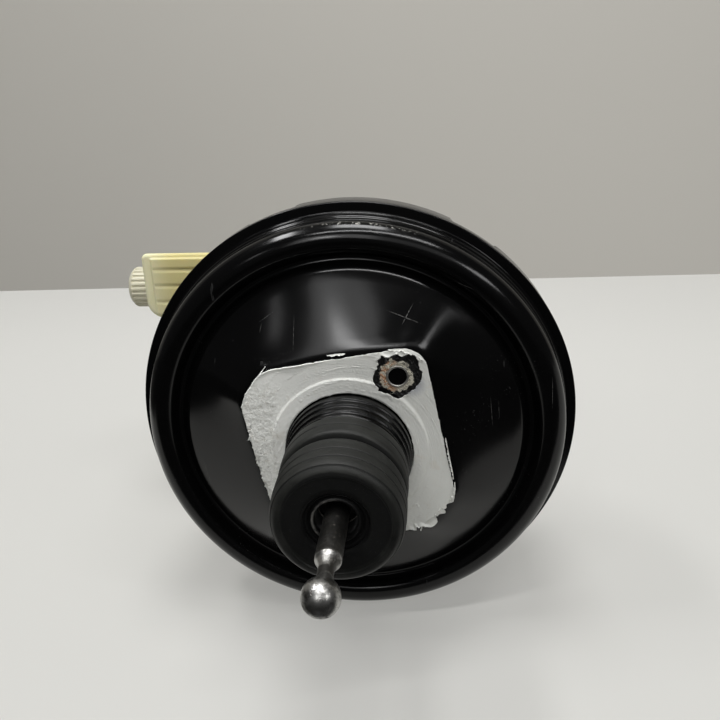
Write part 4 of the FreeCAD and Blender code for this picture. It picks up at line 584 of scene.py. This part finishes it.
def rear_shell_skin():
    """Pressed shell: a section that follows the pad's edge near the middle, carried round the axis."""
    angle = np.arange(SHELL_COLUMNS) / SHELL_COLUMNS * TURN
    pad = pad_radius(angle)
    outer = [
        (ring(32.0, -9.0), 0.7), (ring(34.0, -9.0), 0.7), (ring(34.0, -1.2), 1.2), (ring(45.0, -1.2), 1.0),
        (ring(46.8, 0.0), 1.0), (ring(pad - 0.4, 0.0), 4.2), (ring(*DOME), 3.2),
        (ring(106.6, 29.6), 2.2), (ring(111.0, 29.8), 2.2), (ring(113.4, 21.6), 2.6), (ring(118.6, 19.3), 3.0),
        (ring(124.6, 21.0), 3.4), (ring(129.5, 26.5), 3.0), (ring(129.5, 36.7), 1.6), (ring(131.2, 38.0), 1.0),
        (ring(131.4, 43.5), 1.4), (ring(138.0, 43.5), 0.7), (ring(138.0, 45.5), 0.3),
    ]
    inner = [
        (ring(129.2, 45.5), 0.8), (ring(129.2, 39.2), 0.8), (ring(127.5, 38.0), 1.0), (ring(127.5, 27.4), 2.4),
        (ring(123.6, 23.0), 2.4), (ring(118.8, 21.4), 2.0), (ring(115.0, 23.0), 1.6), (ring(112.6, 31.8), 1.4),
        (ring(104.8, 31.6), 1.4), (ring(102.6, 25.5), 2.4), (ring(pad - 2.2, 2.0), 2.0),
        (ring(46.0, 2.0), 0.8), (ring(44.4, 0.8), 0.8), (ring(32.0, 0.8), 0.5),
    ]
    corners = np.stack([point for point, _ in outer + inner])
    line = soft_profile(corners, [cut for _, cut in outer + inner], 5)
    line = spread(np.concatenate([line, line[:1]]), 6.0)[:-1]
    return surface("rear_shell_skin", turned_grid(line, SHELL_COLUMNS), sharp=50)


def front_shell_skin():
    """Drum and collar: the collar's radius dips between the crimped lobes."""
    angle = np.arange(SHELL_COLUMNS) / SHELL_COLUMNS * TURN
    away = np.abs((angle[None] - LOBE_GAPS[:, None] + np.pi) % TURN - np.pi).min(0)
    gap = 1 - np.clip((away - np.radians(5.6)) / np.radians(1.1), 0, 1)
    gap = gap * gap * (3 - 2 * gap)
    collar = 138.0 - 2.2 * gap
    outer = [
        (ring(138.0, 45.5), 0.4), (ring(138.0, 51.5), 0.4), (ring(collar, 52.5), 0.4),
        (ring(collar, 61.5), 1.6), (ring(130.0, 61.5), 1.6), (ring(130.0, 102.0), 14.0),
        (ring(122.0, 118.0), 9.0), (ring(104.0, 134.0), 9.0), (ring(78.0, 144.0), 7.0), (ring(22.0, 144.0), 0.3),
    ]
    inner = [
        (ring(22.0, 142.0), 0.3), (ring(77.5, 142.0), 7.0), (ring(103.0, 132.0), 9.0), (ring(120.0, 117.0), 9.0),
        (ring(128.0, 101.5), 14.0), (ring(128.0, 59.5), 1.0), (ring(134.0, 59.5), 1.0), (ring(134.0, 45.5), 0.3),
    ]
    corners = np.stack([point for point, _ in outer + inner])
    line = soft_profile(corners, [cut for _, cut in outer + inner], 6)
    line = spread(np.concatenate([line, line[:1]]), 7.0)[:-1]
    return surface("front_shell_skin", turned_grid(line, SHELL_COLUMNS), sharp=50)


# Gasket

def ragged(angle, seed, terms=14, fall=0.75):
    """A closed wavy line about zero: a sum of sines whose size falls as they get finer."""
    rng = np.random.default_rng(seed)
    total = np.zeros_like(angle)
    for term in range(1, terms + 1):
        total += np.sin(term * angle + rng.uniform(0, TURN)) * rng.normal() * term ** -fall
    return total


def bump(value, place, width):
    """Smooth bump of height 1 at place that ends width away."""
    return np.clip(1 - ((value - place) / width) ** 2, 0, 1) ** 2


def turned_back(angle, place):
    """Angle from a place on the rim, between minus and plus half a turn."""
    return (angle - np.radians(place) + np.pi) % TURN - np.pi


# Tear round each sleeve: bearing in degrees from the sleeve, reach beyond the round part, width in degrees
TEARS = [(180, 1.6, 34), (132, 2.6, 26), (98, 1.0, 20), (50, 2.4, 32), (8, 1.0, 24), (-35, -0.4, 26),
         (-92, 0.8, 22), (-140, 1.2, 26)]
# Bites out of the lower right edge: bearing in degrees, depth, width in degrees
BITES = [(-31.6, 2.4, 3.4), (-34.6, 2.6, 1.3), (-39.0, 2.2, 3.6), (-41.0, 1.8, 1.1), (-49.6, 2.4, 3.6),
         (-52.4, 2.4, 1.0), (-56.0, 1.0, 2.2)]


def tear_radius(bearing, seed):
    """Distance from the sleeve's line to the tear's edge: a wavy circle with the bumps of the table."""
    reach = 12.5 + 0.4 * ragged(bearing, seed, 30, 0.5)
    for place, more, width in TEARS:
        reach = reach + more * bump(turned_back(bearing, place), 0, np.radians(width))
    return reach


def gasket_sheet():
    """Thin sheet on the pad, raised over the ring in the middle. Its rim is bitten at the lower right, crumbly at
    the left and curled up along the upper left, and the points that fall inside the tear round each sleeve are
    drawn out to the tear's edge."""
    columns, rows = 640, 60
    angle = np.arange(columns) / columns * TURN
    left = bump(turned_back(angle, 184), 0, np.radians(40))
    torn = bump(turned_back(angle, -42), 0, np.radians(26))
    curled = bump(turned_back(angle, 128), 0, np.radians(34))
    rim = pad_radius(angle, 0.8) + (0.06 + 0.06 * left + 0.14 * torn) * ragged(angle, 3, 90, 0.5)
    for place, depth, width in BITES:
        rim = rim - depth * bump(turned_back(angle, place), 0, np.radians(width))
    share = np.linspace(0, 1, rows)[:, None] ** 0.85
    radius = 37.6 + (rim - 37.6)[None] * share
    x, z = radius * np.cos(angle), radius * np.sin(angle)
    keep = np.ones(x.shape, bool)
    lift = np.zeros(x.shape)
    for number, sign in enumerate((1, -1)):
        dx, dz = x - sign * SLEEVE[0], z - sign * SLEEVE[1]
        distance = np.hypot(dx, dz)
        bearing = np.arctan2(dz * sign, dx * sign)
        tear = tear_radius(bearing, 11 + number)
        inside = distance < tear
        keep &= ~inside
        scale = np.where(inside, tear / np.maximum(distance, 0.1), 1.0)
        x = np.where(inside, sign * SLEEVE[0] + dx * scale, x)
        z = np.where(inside, sign * SLEEVE[1] + dz * scale, z)
        edge = np.clip(1 - (distance - tear) / 2.6, 0, 1) ** 2
        upper = bump(turned_back(bearing, 65), 0, np.radians(75))
        lift += edge * (0.25 + 0.7 * upper + 0.25 * ragged(bearing, 21 + number, 16, 0.6))
    ring = np.clip((46.9 - radius) / 1.3, 0, 1)
    from_rim = (rim[None] - radius)
    crumble = left * np.clip(1 - from_rim / 9.0, 0, 1) ** 1.5
    rough = ragged(angle[None] * 5 + radius * 0.9, 5, 10, 0.3) * ragged(angle[None] * 3 - radius * 1.3, 6, 10, 0.3)
    wrinkle = 0.03 + 0.18 * crumble
    curl = curled * np.clip(1 - from_rim / 1.8, 0, 1) ** 2 * (0.8 + 0.35 * ragged(angle, 9, 30, 0.4))
    curl = curl + torn * np.clip(1 - from_rim / 3.0, 0, 1) ** 2 * (0.8 + 0.5 * ragged(angle, 10, 40, 0.3))
    depth = -(0.85 + 1.2 * ring * ring * (3 - 2 * ring) + np.clip(lift, 0, 1.4) + np.abs(wrinkle * rough)
              + np.clip(curl, 0, 1.6) + 0.35 * crumble)
    faces = grid_faces(rows, columns, False, True)
    kept = keep.reshape(-1)[faces].any(1)
    thing = mesh_object("gasket_sheet", np.stack([x, depth, z], -1).reshape(-1, 3), faces[kept])
    wall = thing.modifiers.new("thickness", "SOLIDIFY")
    wall.thickness = 0.7 * MM
    wall.offset = -1.0
    return open_sheet(thing)


def open_sheet(thing):
    """Drops loose points, merges doubled ones and turns a sheet's faces to the pedal's side."""
    work = bmesh.new()
    work.from_mesh(thing.data)
    loose = [vert for vert in work.verts if not vert.link_faces]
    bmesh.ops.delete(work, geom=loose, context="VERTS")
    bmesh.ops.remove_doubles(work, verts=work.verts, dist=0.02 * MM)
    bmesh.ops.recalc_face_normals(work, faces=work.faces)
    outward = sum(face.normal.y * face.calc_area() for face in work.faces)
    if outward > 0:
        bmesh.ops.reverse_faces(work, faces=work.faces)
    work.to_mesh(thing.data)
    work.free()
    thing.data.polygons.foreach_set("use_smooth", np.ones(len(thing.data.polygons), bool))
    return thing


# Curled strips that came off the gasket: their line across the pad, their width, and how far round they curl
FLAKES = [
    ([(55.2, 9.0), (57.2, -2.0), (59.2, -12.0), (60.0, -18.0)], 2.2, 1.9, 51),
    ([(60.2, -20.0), (60.6, -25.0), (59.0, -30.5), (57.0, -33.0)], 3.6, 2.4, 52),
    ([(52.6, -37.0), (48.5, -43.5), (43.5, -48.0)], 2.4, 2.2, 53),
    ([(41.6, -50.0), (41.0, -53.6)], 2.0, 1.6, 54),
    ([(37.9, -34.6), (39.4, -35.0), (40.2, -36.6)], 1.8, 2.0, 55),
    ([(24.0, 62.6), (31.0, 62.9), (38.0, 60.4), (43.0, 56.6)], 2.4, 1.7, 56),
    ([(-10.0, 59.6), (-5.0, 60.2), (0.0, 60.6)], 1.8, 1.5, 57),
    ([(-58.8, 35.8), (-52.0, 45.2), (-45.2, 53.4)], 1.3, 1.8, 58),
]


def flake_skin():
    """Strips whose section is an arc: it starts flat on the sheet and turns up with the given angle."""
    parts = []
    for line, width, turn, seed in FLAKES:
        line = spread(np.array(line, float), 0.35)
        share = np.linspace(0, 1, len(line))
        for _ in range(12):
            line[1:-1] = (line[:-2] + line[1:-1] * 2 + line[2:]) / 4
        ahead = np.gradient(line, axis=0)
        ahead /= np.linalg.norm(ahead, axis=1, keepdims=True)
        across = np.stack([ahead[:, 1], -ahead[:, 0]], -1)
        taper = np.sin(np.pi * (0.06 + 0.88 * share)) ** 0.5
        wide = width * (0.75 + 0.14 * ragged(share * TURN * 0.9, seed, 24, 0.5)) * taper
        bend = np.linspace(0, 1, 9)[None] * turn * (0.8 + 0.15 * ragged(share * TURN, seed + 9, 12, 0.6))[:, None]
        curve = (wide / turn)[:, None]
        along, up = curve * np.sin(bend), curve * (1 - np.cos(bend))
        flat = line[:, None] + across[:, None] * (along - 0.4 * width)[..., None]
        height = 0.95 + 0.15 * ragged(share * TURN, seed + 5, 9)[:, None] + up
        top = np.stack([flat[..., 0], -height - 0.16, flat[..., 1]], -1)
        low = np.stack([flat[..., 0], -height + 0.16, flat[..., 1]], -1)
        skin = np.concatenate([top, low[:, ::-1]], 1)
        start = np.broadcast_to(skin[:1].mean(1, keepdims=True), skin[:1].shape)
        end = np.broadcast_to(skin[-1:].mean(1, keepdims=True), skin[-1:].shape)
        skin = np.concatenate([start, skin, end], 0)
        parts.append((skin, grid_faces(*skin.shape[:2], False, True)))
    return finish_mesh(joined("gasket_flakes", parts), sharp=70)


def sleeve_residue(name, sign, seed):
    """Crust of old sealant round a sleeve: a low lumpy disc that fills the tear to just under the sheet."""
    columns, rows = 220, 30
    angle = np.arange(columns) / columns * TURN
    share = np.linspace(0, 1, rows)[:, None]
    reach = tear_radius(angle, 11 if sign > 0 else 12) + 0.8
    radius = 6.5 + (reach - 6.5)[None] * share
    lumps = ragged(angle[None] * 2 + share * 3.0, seed, 26, 0.4) * ragged(angle[None] - share * 5.0, seed + 1, 20, 0.4)
    height = np.clip(0.55 + 0.28 * lumps, 0.12, 1.7) * (1 - 0.45 * share) + 0.15
    x = sign * (SLEEVE[0] + radius * np.cos(angle))
    z = sign * (SLEEVE[1] + radius * np.sin(angle))
    top = np.stack([x, -height, z], -1)
    bottom = np.stack([x[::-1], np.full_like(height, 0.4), z[::-1]], -1)
    return surface(name, np.concatenate([top, bottom], 0))


# Boot and rod

def boot_skin():
    """Rubber bellows: a section with rounded folds carried round the axis, hollow inside. Its free end sags,
    but not round the hole, so that the rod stays clear of it."""
    outer = [
        (37.0, -2.4, 0.4), (37.0, -7.7, 0.5), (35.9, -8.5, 0.5), (35.4, -10.8, 0.8), (36.2, -12.9, 0.4),
        (36.2, -13.5, 0.4), (35.0, -14.4, 0.5), (34.6, -16.8, 0.8), (35.4, -18.8, 0.4), (35.4, -19.5, 0.4),
        (34.2, -20.5, 0.5), (34.0, -22.6, 0.5), (33.2, -23.4, 0.4), (33.2, -24.8, 0.4), (34.8, -25.8, 0.5),
        (35.3, -28.0, 1.0), (35.3, -33.4, 0.4), (34.8, -34.1, 0.3), (35.3, -34.8, 0.4), (35.2, -41.0, 1.2),
        (34.4, -42.8, 0.8), (31.2, -43.6, 0.4), (31.2, -46.6, 0.4), (34.0, -47.6, 0.8), (34.9, -49.8, 1.4),
        (35.0, -57.0, 0.3), (34.5, -57.7, 0.3), (35.0, -58.4, 0.3), (34.9, -64.2, 0.3), (34.3, -64.9, 0.3),
        (34.8, -65.7, 0.4), (34.5, -68.6, 1.2), (33.6, -71.2, 0.5), (32.9, -71.5, 0.2), (32.9, -72.1, 0.3),
        (31.2, -73.8, 1.2), (28.2, -74.4, 0.5), (27.6, -73.8, 0.3), (27.0, -73.6, 0.3), (18.4, -73.7, 0.5),
        (17.3, -73.0, 0.5), (16.4, -71.6, 0.4), (15.6, -72.3, 0.3), (14.9, -72.2, 0.3), (14.3, -71.0, 0.4),
        (13.6, -70.9, 0.3), (13.0, -72.2, 0.3), (12.4, -73.3, 0.5), (11.5, -73.2, 0.5), (10.8, -72.2, 0.4),
        (10.7, -69.9, 0.2),
    ]
    inner = [
        (25.15, -69.8, 0.2), (25.15, -63.6, 0.3), (27.0, -63.6, 0.6), (27.0, -67.6, 1.2), (31.4, -67.6, 1.6),
        (32.6, -60.0, 1.6), (32.6, -50.0, 1.5), (30.0, -46.6, 0.8), (30.0, -43.0, 0.8), (33.0, -39.0, 1.5),
        (33.0, -29.0, 1.5), (31.6, -25.4, 0.8), (31.6, -23.0, 0.8), (33.0, -19.0, 1.0), (33.2, -11.4, 0.8),
        (34.35, -9.6, 0.4), (34.35, -2.4, 0.3),
    ]
    rows = outer + inner
    line = soft_profile([row[:2] for row in rows], [row[2] for row in rows], 6)
    line = spread(np.concatenate([line, line[:1]]), 2.2)[:-1]
    grid = turned_grid(line, 208)
    outward = np.clip((-grid[..., 1] - 22.0) / 50.0, 0, 1)
    clear = np.clip((np.hypot(grid[..., 0], grid[..., 2]) - 13.0) / 6.0, 0, 1)
    grid[..., 2] -= 2.5 * clear * outward * outward * (3 - 2 * outward)
    return surface("boot_skin", grid)


def rod_skin():
    """Push rod with its large ball, from the small ball in the plunger out to the pedal's end."""
    ball = 8.75
    centre = -129.5
    steep = np.linspace(-np.pi / 2, np.arccos(5.4 / ball), 40)
    large = np.stack([ball * np.cos(steep), centre - ball * -np.sin(steep)], -1)
    small_steep = np.linspace(-np.arccos(4.2 / 5.5), np.pi / 2, 24)
    small = np.stack([5.5 * np.cos(small_steep), -8.0 + 5.5 * np.sin(small_steep)], -1)
    middle = soft_profile(
        [(5.4, centre + 6.9), (3.8, -118.6), (3.8, -110.4), (5.3, -106.2), (6.35, -104.6), (6.35, -52.0), (4.2, -52.0),
         (4.2, -14.0), (0, -14)], [0, 1.9, 1.8, 0.3, 0.5, 0.4, 0.4, 0.1, 0], 6)[1:-1]
    line = np.concatenate([large, middle, small])
    line[:, 0] = np.maximum(line[:, 0], 0.0)
    line = spread(line, 2.5)
    return surface("rod_skin", turned_grid(line, 96), close_rows=False, sharp=60)


def sleeve_tube(name, sign):
    """Tube with rounded mouths: its section is carried round the sleeve's own line."""
    line = soft_profile([(5.25, -1.5), (6.45, -1.5), (6.45, PLATE), (5.25, PLATE)], [0.45, 0.35, 0.3, 0.3])
    line = spread(np.concatenate([line, line[:1]]), 12.0)[:-1]
    return surface(name, turned_grid(line, 72) + sign * np.array([SLEEVE[0], 0, SLEEVE[1]]), sharp=60)


# Reservoir

def tank_grid():
    """Tank: its rounded side outline is carried across from face to face, and its top falls towards the far face.
    On each face the outline shrinks to a short line in the middle, and the near face is raised in a panel with
    furrows that deepen towards the tank's wide end."""
    near, far, soft = TANK_NEAR, TANK_FAR, 3.0
    outline = soft_profile(
        [(-172.0, 86.0), (-84.0, 86.0), (-84.0, 34.0), (-172.0, 34.0)], [5.0, 3.0, 3.0, 13.0], 14)
    outline = spread(np.concatenate([outline, outline[:1]]), 1.3)[:-1]
    target = np.stack([np.clip(outline[:, 0], -152.0, -106.0), np.full(len(outline), 60.0)], -1)
    face = np.linspace(0, 1, 60) ** 0.9
    bend = np.linspace(0, np.pi / 2, 9)[1:]
    ahead = np.roll(outline, -1, 0) - np.roll(outline, 1, 0)
    normal = np.stack([ahead[:, 1], -ahead[:, 0]], -1)
    normal /= np.linalg.norm(normal, axis=1, keepdims=True)
    if np.sum(normal * (outline - target)) > 0:
        normal = -normal
    inset = outline + normal * soft
    rows = [(target + (inset - target) * share, near) for share in face]
    rows += [(outline + normal * soft * (1 - np.sin(turn)), near + soft * (1 - np.cos(turn))) for turn in bend]
    rows += [(outline, depth) for depth in np.linspace(near + soft, far - soft, 14)[1:]]
    rows += [(outline + normal * soft * (1 - np.sin(turn)), far - soft * (1 - np.cos(turn))) for turn in bend[::-1][1:]]
    rows += [(target + (inset - target) * share, far) for share in face[::-1][::3]]
    grid = np.stack([np.stack([flat[:, 0], np.full(len(flat), depth), flat[:, 1]], -1) for flat, depth in rows])
    fall = 19.0 * (grid[..., 1] - near) / (far - near)
    grid[..., 2] = 34.0 + (grid[..., 2] - 34.0) * (52.0 - fall) / 52.0
    x, z = grid[:len(face), :, 0], grid[:len(face), :, 2]
    inside = np.clip((x + 165.0) / 1.6, 0, 1) * np.clip((z - 37.0) / 1.6, 0, 1) * np.clip((83.0 - z) / 1.6, 0, 1)
    panel = inside * inside * (3 - 2 * inside)
    deepen = np.clip((x + 162.0) / 40.0, 0, 1)
    for height in FURROWS:
        across = np.clip(1 - np.abs(z - height) / 2.4, 0, 1)
        panel = panel - across * across * (3 - 2 * across) * (0.25 + 1.15 * deepen) * (x > -163.0)
    grid[:len(face), :, 1] -= 1.5 * np.clip(panel, -0.6, 1)
    return grid


def loft_rows(sections):
    """Rounded rectangles across Y and Z, one at each X, closed at both ends."""
    rows = []
    for x, y_low, y_high, z_low, z_high in sections:
        corners = [(y_low, z_low), (y_high, z_low), (y_high, z_high), (y_low, z_high)]
        line = soft_profile(corners, [4.0] * 4, 7)
        rows.append(np.stack([np.full(len(line), x), line[:, 0], line[:, 1]], -1))
    first = np.broadcast_to(rows[0].mean(0), rows[0].shape)
    last = np.broadcast_to(rows[-1].mean(0), rows[-1].shape)
    return np.stack([first] + rows + [last])


def to_filler(grid):
    """Turns a grid made round the Y axis to the filler's axis. Its depth then runs to +X from the neck's mouth."""
    return np.stack([-191.0 + grid[..., 1], FILLER[0] + grid[..., 0], FILLER[1] + grid[..., 2]], -1)


def reservoir_skin():
    """Tank, the foot that carries it out from the master cylinder, the filler's neck and the foot's two pipes."""
    near, far = TANK_NEAR, TANK_FAR
    tank = tank_grid()
    foot = loft_rows([
        (-30.0, near + 1.5, far - 1.5, -14.5, 18.5), (-31.5, near, far, -16.0, 20.0), (-50.0, near, far, -16.0, 20.0),
        (-54.0, near, far, -12.5, 24.0), (-80.0, near, far, 30.0, 66.0), (-86.0, near, far, 34.6, 66.6),
        (-92.0, near + 0.6, far - 0.6, 36.0, 66.0),
    ])
    neck = to_filler(turned_grid(soft_profile(
        [(10.8, 0.0), (13.0, 0.0), (13.0, 21.0), (10.8, 21.0)], [0.6, 0.6, 0.2, 0.2], 4), 72))
    pieces = ((tank, False), (foot, False), (neck, True))
    parts = [(grid, grid_faces(*grid.shape[:2], closed, True)) for grid, closed in pieces]
    for place in (31.0, 87.0):
        pipe = turned_grid(soft_profile(
            [(5.0, 0.0), (7.5, 0.0), (7.5, 12.0), (5.0, 12.0)], [0.5, 0.5, 0.2, 0.2], 4), 48)
        pipe = np.stack([-20.0 - pipe[..., 1], PLATE + place + pipe[..., 0], pipe[..., 2]], -1)
        parts.append((pipe, grid_faces(*pipe.shape[:2], True, True)))
    return finish_mesh(joined("reservoir_skin", parts), sharp=40)


def cap_skin():
    """Filler cap: a turned shape whose skirt has round flutes cut into it."""
    columns = 288
    angle = np.arange(columns) / columns * TURN
    away = np.abs((angle * 24 / TURN + 0.5) % 1 - 0.5) * TURN / 24 * 16.5
    flute = np.sqrt(np.clip(1.2 ** 2 - away ** 2, 0, None))
    corners = [
        (0.0, -5.6), (13.0, -5.6), (16.5, -2.1), (16.5, 12.2), (13.3, 12.2), (13.3, -2.1), (0.0, -2.1),
    ]
    line = soft_profile(corners, [0.0, 1.5, 1.2, 0.5, 0.4, 0.5, 0.0], 6)
    line = spread(line, 1.2)
    profile = np.repeat(line[:, None], columns, 1)
    outer = (line[:, 0] > 16.0) & (line[:, 1] > -1.6) & (line[:, 1] < 12.0)
    profile[outer, :, 0] -= flute[None]
    return surface("cap_skin", to_filler(turned_grid(profile, columns)), close_rows=False, sharp=35)


# Solids that keep their shape

def smooth_copy(node):
    """A copy of a node with its points merged, so that its round faces shade smooth."""
    source = frame["nodes"][node]
    thing = bpy.data.objects.new(node + "_skin", source.data.copy())
    bpy.context.scene.collection.objects.link(thing)
    return finish_mesh(thing, weld=0.004, sharp=32)


SLOT_OF = {part["node"]: part["material_slot"] for part in frame["record"]["subparts"]}


def bending(piece, node):
    """Shows a node by a piece with the node's paint and its place baked into its points, and hides the node."""
    piece.data.materials.clear()
    piece.data.materials.append(PAINTS[SLOT_OF[node]].material)
    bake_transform(piece)
    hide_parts(node)


for name, node in frame["nodes"].items():
    node.data.materials.clear()
    node.data.materials.append(PAINTS[SLOT_OF[name]].material)

add(rear_shell_skin(), "housing", "shell_paint", "rear_shell")
add(front_shell_skin(), "housing", "shell_paint", "front_shell")
add(gasket_sheet(), "housing", "gasket_paper", "mounting_gasket")
add(flake_skin(), "housing", "gasket_paper")
sleeve_paint = zinc_steel("sleeve_steel", (0.72, 0.71, 0.66), 0.4, bore=5.6)
residue = residue_paint()
for label, sign, seed in (("residue_upper", 1, 31), ("residue_lower", -1, 41)):
    add(sleeve_residue(label, sign, seed), "housing", "black_rubber", paint=residue)
add(sleeve_tube("sleeve_upper", 1), "housing", "zinc_steel", "through_sleeves", paint=sleeve_paint)
add(sleeve_tube("sleeve_lower", -1), "housing", "zinc_steel", paint=sleeve_paint)
add(rod_skin(), "rod", "rod_steel", "input_rod")
add(reservoir_skin(), "housing", "tank_plastic", "reservoir")
add(cap_skin(), "cap", "cap_plastic", "reservoir_cap")

bending(boot_skin(), "dust_boot")

for name in (
    "master_cylinder_body", "mc_nuts", "mc_studs", "stop_pin", "reservoir_pin", "reservoir_grommets", "level_switch",
    "check_valve_body", "check_valve_grommet",
):
    body = next(body for body, nodes in frame["record"]["behaviour"]["bodies"].items() if name in nodes)
    add(smooth_copy(name), body, SLOT_OF[name], name)

# Coil springs between the two bodies that press on them: the bodies, and where each end lies along Y
SPRINGS = {
    "return_spring": ("power_piston", "housing", 0.048, 0.1417),
    "secondary_spring": ("secondary", "housing", 0.2304, 0.2558),
    "valve_spring": ("plunger", "power_piston", -0.0501, -0.0402),
    "check_valve_spring": ("check_disc", "check_valve", 0.1493, 0.1664),
}
for name, (first, second, start, end) in SPRINGS.items():
    bending(smooth_copy(name), name)
coil = add(smooth_copy("primary_spring"), "secondary", "spring_steel", "primary_spring")
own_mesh(coil)


# Floor, wall, lamps and camera

def backdrop(name, colour, dull, glows, fade, edges=None):
    """A plain surface whose tone the camera and the gloss see paler than the lamps alone make it, by one share of
    its colour at each end of the fade. Past a line in front and one to the left, gloss rays see it near black: a
    painted dark reflection in the object's gloss, while the camera still sees it pale."""
    paint = Paint(name, Roughness=dull, Specular_IOR_Level=0.3)
    seen = paint.node("LightPath", output="Is Camera Ray")
    gloss = paint.node("LightPath", output="Is Glossy Ray")
    through = paint.node("LightPath", output="Is Transmission Ray")
    shown = seen.above(gloss).above(through)
    axis, start, end = fade
    ends = [tuple(glow * part for part in colour) for glow in glows]
    glow = paint.mix({"x": paint.x, "y": paint.y}[axis].step(start * MM, end * MM), *ends)
    if edges:
        # Where gloss rays start to see it near black, a painted dark reflection: how far in front, and how far to the
        # left
        front, left = edges
        dark = gloss * paint.y.step(front * MM, (front - 30.0) * MM).above(paint.x.step(left * MM, (left - 80.0) * MM))
        paint.set(Base_Color=paint.mix(dark, colour, (0.01, 0.01, 0.01)))
        shown = shown * (1.0 - dark)
    else:
        paint.shader.inputs["Base Color"].default_value = (*colour, 1.0)
    paint.set(Emission_Color=paint.mix(shown, (0.0, 0.0, 0.0), glow))
    paint.shader.inputs["Emission Strength"].default_value = 1.0
    return paint


def sheet_of(name, corners, paint):
    """A flat sheet of the room, which isn't part of the object."""
    thing = mesh_object(name, corners, [(0, 1, 2, 3)])
    thing.data.materials.append(paint.material)
    return thing


floor_paint = backdrop(
    "floor_paint", (0.4, 0.397, 0.379), 0.28, (0.67, 0.95), ("y", -100.0, 600.0), (-105.0, -480.0))
wall_paint = backdrop("wall_paint", (0.315, 0.304, 0.278), 0.5, (0.55, 0.78), ("x", -500.0, 600.0))
# Left and right ends of the wall's foot, how far the floor comes forward, and the wall's top
WALL_LEFT, WALL_RIGHT = (-3416.0, 779.0), (3213.0, 1039.0)
FLOOR_FRONT = -3000.0
WALL_TOP = 3000.0
foot = [(*WALL_RIGHT, FLOOR), (*WALL_LEFT, FLOOR)]
sheet_of("floor", [(WALL_LEFT[0], FLOOR_FRONT, FLOOR), (WALL_RIGHT[0], FLOOR_FRONT, FLOOR)] + foot, floor_paint)
sheet_of("wall", foot[::-1] + [(*WALL_RIGHT, WALL_TOP), (*WALL_LEFT, WALL_TOP)], wall_paint)


def turned_frame(side, up, back, place):
    """Matrix of an object that faces away from back, with its place in millimetres."""
    matrix = np.eye(4)
    matrix[:3, :3] = np.stack([side, up, back], -1)
    matrix[:3, 3] = np.asarray(place, float) * MM
    return Matrix(matrix.tolist())


def lamp(name, place, width, height, power):
    """A soft rectangular lamp that faces the origin."""
    light = bpy.data.lights.new(name, "AREA")
    light.shape = "RECTANGLE"
    light.size, light.size_y = width * MM, height * MM
    light.energy = power
    thing = bpy.data.objects.new(name, light)
    back = np.asarray(place, float) / np.linalg.norm(place)
    side = np.cross((0.0, 0.0, 1.0), back)
    side = side / np.linalg.norm(side)
    thing.matrix_world = turned_frame(side, np.cross(back, side), back, place)
    bpy.context.scene.collection.objects.link(thing)


def toward(bearing, height, distance):
    """A place at a bearing from the front, to the right, and at an angle above the floor."""
    a, b = np.radians(bearing), np.radians(height)
    return np.array([np.sin(a) * np.cos(b), -np.cos(a) * np.cos(b), np.sin(b)]) * distance


# Place, width, height and power. Where each lamp stands is read from the gleams on the black paint
LAMPS = {
    "front_box": (toward(-11, 37, 1300), 520, 400, 1.5),
    "front_core": (toward(-14, 36, 1280), 130, 110, 0.7),
    "front_spot": (toward(-40, 32, 1300), 110, 90, 0.13),
    "front_glow": (toward(18, 38, 1300), 800, 380, 0.7),
    "right_box": (toward(48, 31, 1300), 380, 220, 2.0),
    "left_box": (toward(-92, 62, 1400), 450, 170, 5.2),
    "strip": ((150, -510, 1400), 1300, 100, 9.0),
    "ceiling": ((0, 60, 1500), 500, 400, 9.5),
}
for name, settings in LAMPS.items():
    lamp(name, *settings)

world = bpy.data.worlds.new("room")
bpy.context.scene.world = world
world.use_nodes = True
world.node_tree.nodes["Background"].inputs["Color"].default_value = (1.0, 1.0, 1.0, 1.0)
world.node_tree.nodes["Background"].inputs["Strength"].default_value = 0.06

# Camera: its place in millimetres, and the directions of its right, its top and its view
CAMERA_PLACE = (43.0, -373.96, 199.7)
CAMERA_SIDE = np.array([0.99625, 0.07943, -0.0350])
CAMERA_UP = np.array([0.00436, 0.35687, 0.9341])
CAMERA_AHEAD = np.array([-0.08673, 0.93073, -0.3552])
camera_data = bpy.data.cameras.new("camera")
camera_data.lens = 36.05
camera_data.sensor_width = 36.0
camera = bpy.data.objects.new("camera", camera_data)
camera.matrix_world = turned_frame(CAMERA_SIDE, CAMERA_UP, -CAMERA_AHEAD, CAMERA_PLACE)
bpy.context.scene.collection.objects.link(camera)
bpy.context.scene.camera = camera
bpy.context.scene.view_settings.view_transform = "Standard"
